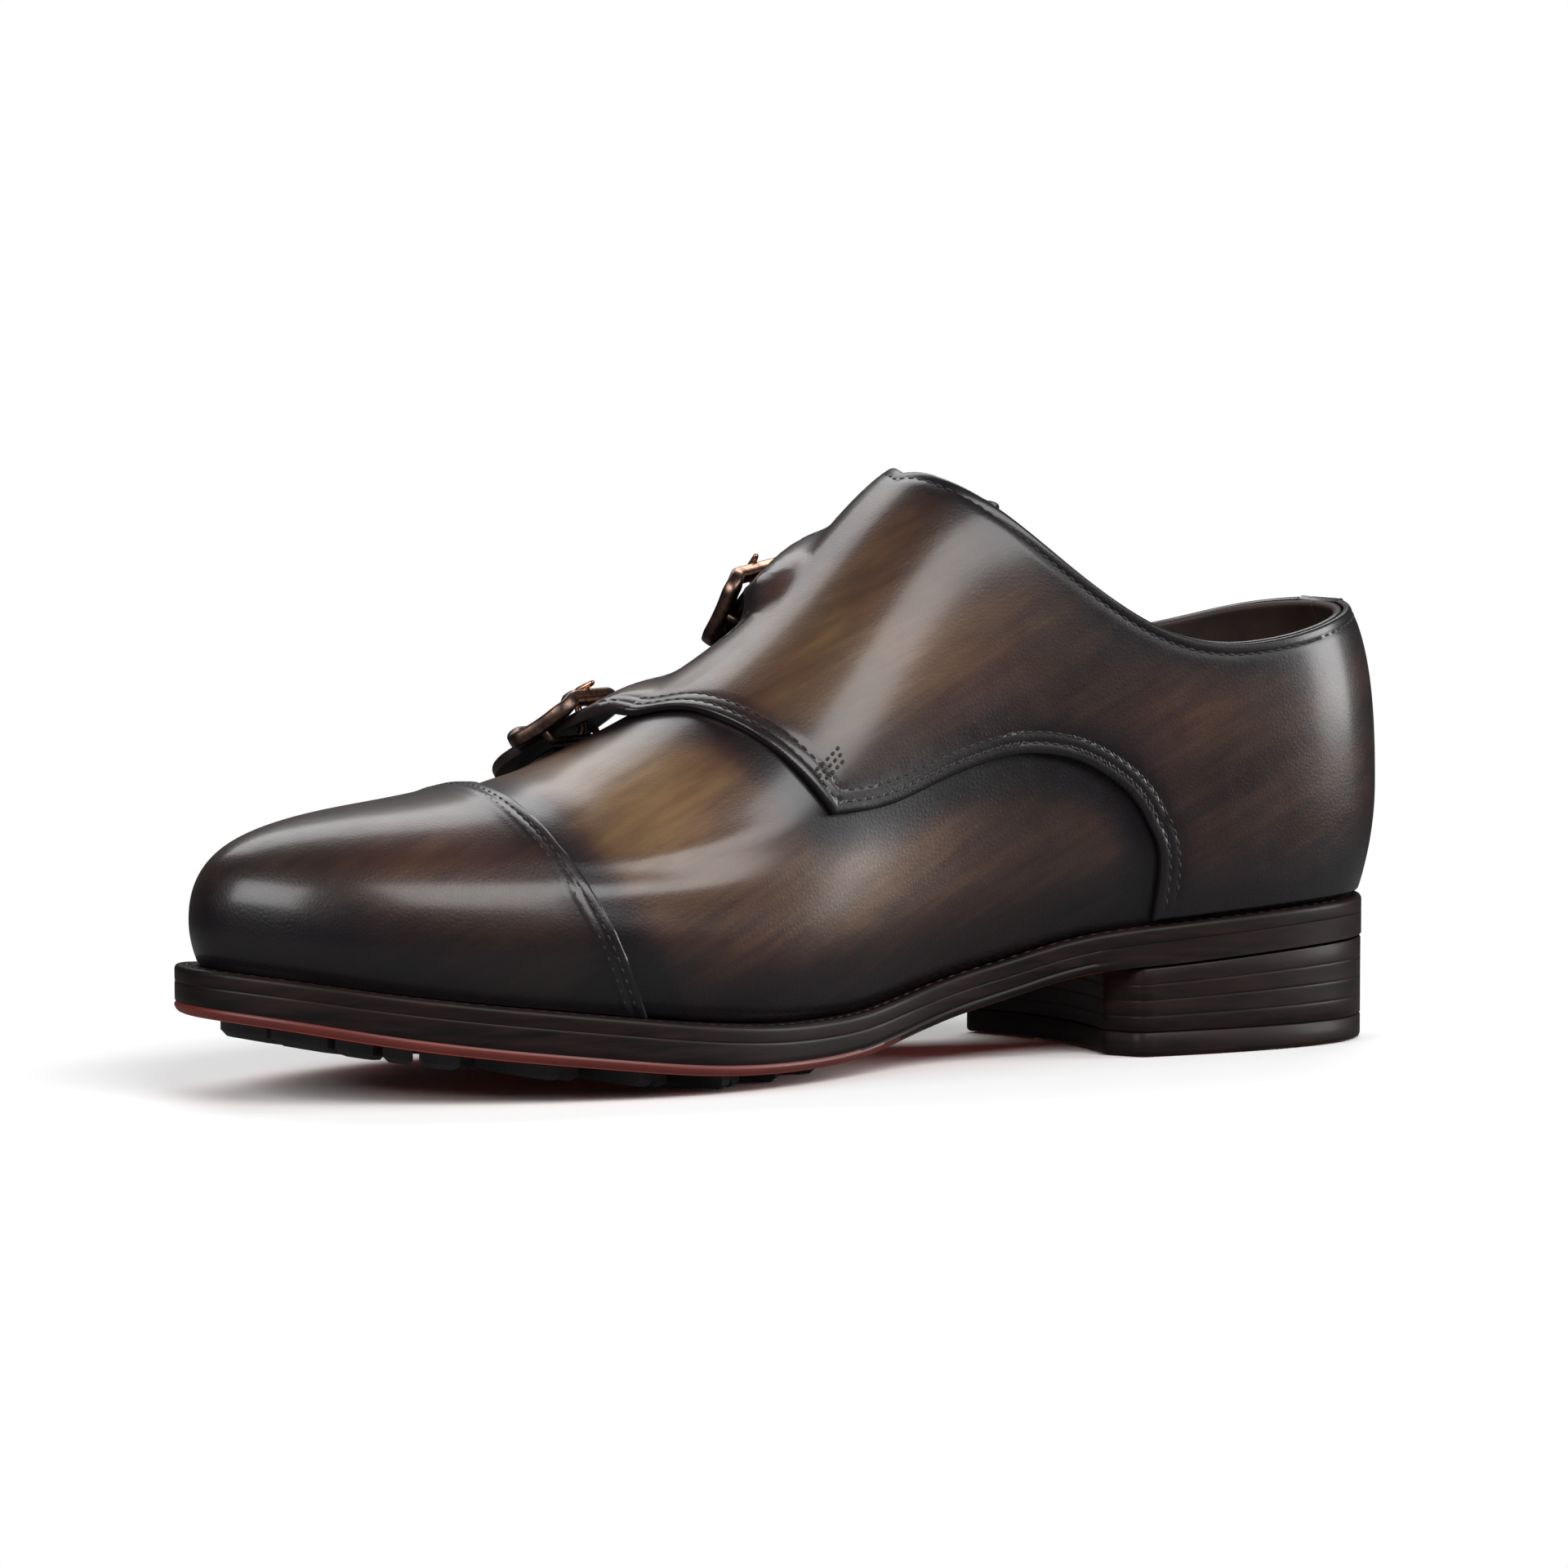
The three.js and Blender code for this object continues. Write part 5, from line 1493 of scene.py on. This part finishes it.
# Four-leaved studs on the middle line, and their section from the sole down: share of the radius, depth
STUDS = [("stud_1", 0.798, 0.106), ("stud_2", 0.723, 0.058), ("stud_3", 0.646, -0.02)]
STUD_SECTION = [(1.0, 1.0), (0.86, 0.1), (0.72, 0.0), (0.4, 0.0), (0.25, 0.35), (0.08, 0.8)]
STUD_RADIUS = 8.0
STUD_WAIST = 4.2
turns = np.linspace(0, 2 * math.pi, 72, endpoint=False)
leaves = circle(72) * (STUD_WAIST + (STUD_RADIUS - STUD_WAIST) * np.abs(np.cos(2 * turns)))[:, None]
for name, x, y in STUDS:
    middle = (x * SOLE_LENGTH, y * BALL_WIDTH)
    outline = middle + leaves
    rings = [np.column_stack([outline, sole_bottom(outline[:, 0]) - SEAT_GAP])]
    for share, depth in STUD_SECTION:
        outline = middle + leaves * share
        rings.append(np.column_stack([outline, tread_low(outline[:, 0]) + depth]))
    make_piece(name + "_rubber", *ring_loft(rings), "rubber", (name,), [RUBBER_SKIN], 28)

# Fan of blocks round the toe
FAN_CENTRE = np.array([0.838 * SOLE_LENGTH, 0.1 * BALL_WIDTH])
FAN_INNER = 13.0
FAN_SLOT = 2.2
FAN_TURNS = np.radians([-48, -23, 1, 24, 47, 71, 97])
fan_outline = closed_outline(fixed(10.0), 240) - FAN_CENTRE
fan_turn = np.arctan2(fan_outline[:, 1], fan_outline[:, 0])
order = np.argsort(fan_turn)


def fan_reach(turn):
    return np.interp(turn, fan_turn[order], np.linalg.norm(fan_outline, axis=1)[order])


share = bevelled((0, 0.05, 0.1), 1, 15)
out = bevelled((0, 0.04, 0.08), 1, 22)[:, None]
for number, (start, end) in enumerate(zip(FAN_TURNS[:-1], FAN_TURNS[1:])):
    long = fan_reach(start + (end - start) * share) - FAN_INNER
    reach = FAN_INNER + long * out
    slot = FAN_SLOT / 2 / reach
    turns = start + slot + (end - start - 2 * slot) * share
    grid = FAN_CENTRE + np.stack([reach * np.cos(turns), reach * np.sin(turns)], -1)
    wide = (end - start) * reach
    edge = np.minimum(np.minimum(out, 1 - out) * long, np.minimum(share, 1 - share) * wide)
    bevel = BEVEL * (1 - np.clip(edge / BEVEL, 0, 1))
    groove = np.clip(1 - np.abs(share - 0.5) * wide / 1.3, 0, 1) * soft((0.7 - out) / 0.1)
    block(f"lug_toe_{number + 1}", grid, np.maximum(bevel, TOE_GROOVE * groove))

# Buckles
BUCKLE_WIDTH = 28.0
BUCKLE_LENGTH = 19.0
WIRE_RADIUS = 1.3
FRAME_CORNER = 3.0
FRAME_RADIUS = 1.75
FRAME_BOW = 0.6
FRAME_DROOP = 1.7
FRAME_SQUARE = 0.55
BAR_RADIUS = 0.9
BAR_DROP = 1.15
PRONG_RADIUS = 0.85
END_CLEARANCE = 0.2
half_long = BUCKLE_LENGTH / 2 - WIRE_RADIUS
half_wide = BUCKLE_WIDTH / 2 - WIRE_RADIUS


def tube(path, radii, sides, reference, square=1.0):
    """Bar along a path with a radius at each place; a square value below 1 flattens its four sides.

    The path lies in the plane square to the reference direction; without one it is closed and level.
    """
    if reference is None:
        heading = unit(np.roll(path, -1, axis=0) - np.roll(path, 1, axis=0))
    else:
        heading = unit(np.gradient(path, axis=0))
    outward = unit(np.cross([0.0, 0.0, 1.0] if reference is None else reference, heading))
    upward = np.cross(heading, outward)
    section = np.sign(circle(sides)) * np.abs(circle(sides)) ** square
    rings = [centre + radius * section @ [out, up]
             for centre, radius, out, up in zip(path, radii, outward, upward)]
    return closed_sweep(rings) if reference is None else ring_loft(rings)


def frame_path(end_height):
    """Rounded rectangle round the strap, bowed over it and drooping at its ends."""
    corners = []
    for side_x, side_y, start in ((1, 1, 0), (-1, 1, 90), (-1, -1, 180), (1, -1, 270)):
        for turn in np.radians(start + np.arange(0, 91, 10)):
            corners.append((side_x * (half_long - FRAME_CORNER) + FRAME_CORNER * math.cos(turn),
                            side_y * (half_wide - FRAME_CORNER) + FRAME_CORNER * math.sin(turn)))
    path = resample(corners + corners[:1], 0.7)[:-1]
    bend = (path[:, 0] / half_long) ** 2
    droop = FRAME_DROOP * soft((np.abs(path[:, 1]) - 8.5) / 4)
    return np.column_stack([path, end_height - FRAME_BOW * (1 - bend) - droop])


for strap in STRAPS:
    axes = np.stack([strap["forward"], strap["across"], strap["normal"]])
    bar_height = strap["lift"] - BAR_DROP - BAR_RADIUS
    end_height = strap["lift"] + STRAP + SEAT_GAP + WIRE_RADIUS + END_CLEARANCE
    path = frame_path(end_height)
    points, faces = tube(path, np.full(len(path), FRAME_RADIUS), 20, None, FRAME_SQUARE)
    middles = np.array([points[face].mean(0) for face in faces])
    roller = (middles[:, 0] < -BUCKLE_LENGTH / 2 + 3.4) & (np.abs(middles[:, 1]) < BUCKLE_WIDTH / 2 - 4)
    rail = end_height - FRAME_BOW - FRAME_DROOP
    ears = [(half_wide, rail), (half_wide - 0.3, rail - 1.4), (half_wide - 0.8, bar_height + 1.0),
            (half_wide - 1.8, bar_height), (half_wide - 4, bar_height), (3, bar_height)]
    bar = resample([(0, y, z) for y, z in ears] + [(0, -y, z) for y, z in reversed(ears)], 0.8)
    bar_points, bar_faces = tube(bar, np.full(len(bar), BAR_RADIUS), 14, (1.0, 0.0, 0.0))
    points, faces = joined([(points, faces), (bar_points, bar_faces)])
    index = np.concatenate([roller, np.zeros(len(bar_faces))])
    node = "buckle_" + strap["name"]
    make_piece(node + "_metal", points @ axes + strap["base"], faces, "buckle_metal", (node,),
               [GUNMETAL, COPPER], 60, index)
    start = bar_height + BAR_RADIUS
    top = end_height + WIRE_RADIUS + SEAT_GAP + 0.9
    knots = [(-1.9, start - 0.6), (-3.4, start + 1.2), (-5.4, top - 0.9), (-8.2, top), (-11.2, top - 0.1)]
    spread = np.linspace(0, 4, 41)
    x, z = (cubic(range(5), values)(spread) for values in zip(*knots))
    radii = PRONG_RADIUS * (1 - 0.25 * soft(spread - 3))
    end = np.sqrt(np.clip(1 - ((spread - 3.4) / 0.62) ** 6, 0.2, 1))
    radii = np.where(spread < 3.4, radii, radii * end)
    points, faces = tube(np.column_stack([x, 0 * x, z]), radii, 12, (0.0, 1.0, 0.0))
    node = "prong_" + strap["name"]
    make_piece(node + "_metal", points @ axes + strap["base"], faces, "buckle_metal", (node,), [COPPER], 60)

# Floor, light and camera
FLOOR_FADE = (0.19, 0.36)
FLOOR_SIZE = 0.48
FLOOR_DIM = 0.85
FLOOR_SHADE = 0.3
FLOOR_MIDDLE = (0.10, 0.0)
white = Nodes(bpy.data.materials.new("white_floor"))
squeezed = white.add("Mapping", "Vector", {"Vector": white.place(), "Scale": (0.75, 1, 1)})
fade = white.add("MapRange", "Result", {
    "Value": white.add("VectorMath", "Value", {0: squeezed}, operation="LENGTH"),
    "From Min": FLOOR_FADE[0],
    "From Max": FLOOR_FADE[1],
    "To Min": 1,
    "To Max": 0,
}, interpolation_type="SMOOTHSTEP")
dim = white.combine("MULTIPLY_ADD", white.add("LightPath", "Is Glossy Ray", {}), -FLOOR_DIM, 1.0)
dim = white.combine("MULTIPLY_ADD", white.add("LightPath", "Is Diffuse Ray", {}), -FLOOR_SHADE, dim)
white.shade({
    "Base Color": (0.95, 0.95, 0.95, 1),
    "Roughness": 0.6,
    "Alpha": white.combine("MULTIPLY", fade, dim),
})
floor_mesh = bpy.data.meshes.new("floor")
floor_mesh.from_pydata([(FLOOR_SIZE * x, FLOOR_SIZE * y, 0) for x, y in circle(96)], [], [list(range(96))])
floor_mesh.materials.append(white.owner)
floor = bpy.data.objects.new("floor", floor_mesh)
floor.location = (*FLOOR_MIDDLE, -0.0002)
bpy.context.scene.collection.objects.link(floor)

TARGET = Vector((0.10772, 0.0, 0.030))
AZIMUTH = math.radians(151)
ELEVATION = math.radians(5.6)
DISTANCE = 1.5
AIM = Vector((0.110, 0.0, 0.064))
LENS = 150
AMBIENT = 0.05


def aimed(name, data, place, aim):
    """Camera or lamp that looks from a place at a point."""
    thing = bpy.data.objects.new(name, data)
    thing.location = place
    thing.rotation_euler = (Vector(place) - aim).to_track_quat("Z", "Y").to_euler()
    bpy.context.scene.collection.objects.link(thing)
    return thing


level_share = math.cos(ELEVATION)
back = Vector((math.sin(AZIMUTH) * level_share, -math.cos(AZIMUTH) * level_share, math.sin(ELEVATION)))
camera_data = bpy.data.cameras.new("camera")
camera_data.sensor_width = 36
camera_data.lens = LENS
camera = aimed("camera", camera_data, TARGET + back * DISTANCE, AIM)
bpy.context.scene.camera = camera

surroundings = Nodes(bpy.data.worlds.new("white_surroundings"), "Background")
seen = surroundings.add("LightPath", "Is Camera Ray", {})
surroundings.shade({
    "Color": (1, 1, 1, 1),
    "Strength": surroundings.add("MapRange", "Result", {"To Min": AMBIENT, "To Max": 1, "Value": seen}),
})
bpy.context.scene.world = surroundings.owner

# Large soft lamps: name, place, size, power
LAMPS = [
    ("overhead", (0.0, 0.92, 0.88), (1.2, 0.5), 15),
    ("far_side", (-0.15, -0.75, 0.95), (1.3, 0.6), 9),
    ("toe_side", (1.15, 0.25, 0.60), (0.7, 0.5), 9),
    ("heel_side", (-1.1, 0.55, 0.40), (0.5, 0.7), 12),
]
for name, place, size, power in LAMPS:
    lamp = bpy.data.lights.new(name, "AREA")
    lamp.shape = "RECTANGLE"
    lamp.size, lamp.size_y = size
    lamp.energy = power
    aimed(name, lamp, place, TARGET)
bpy.context.scene.view_settings.view_transform = "Standard"
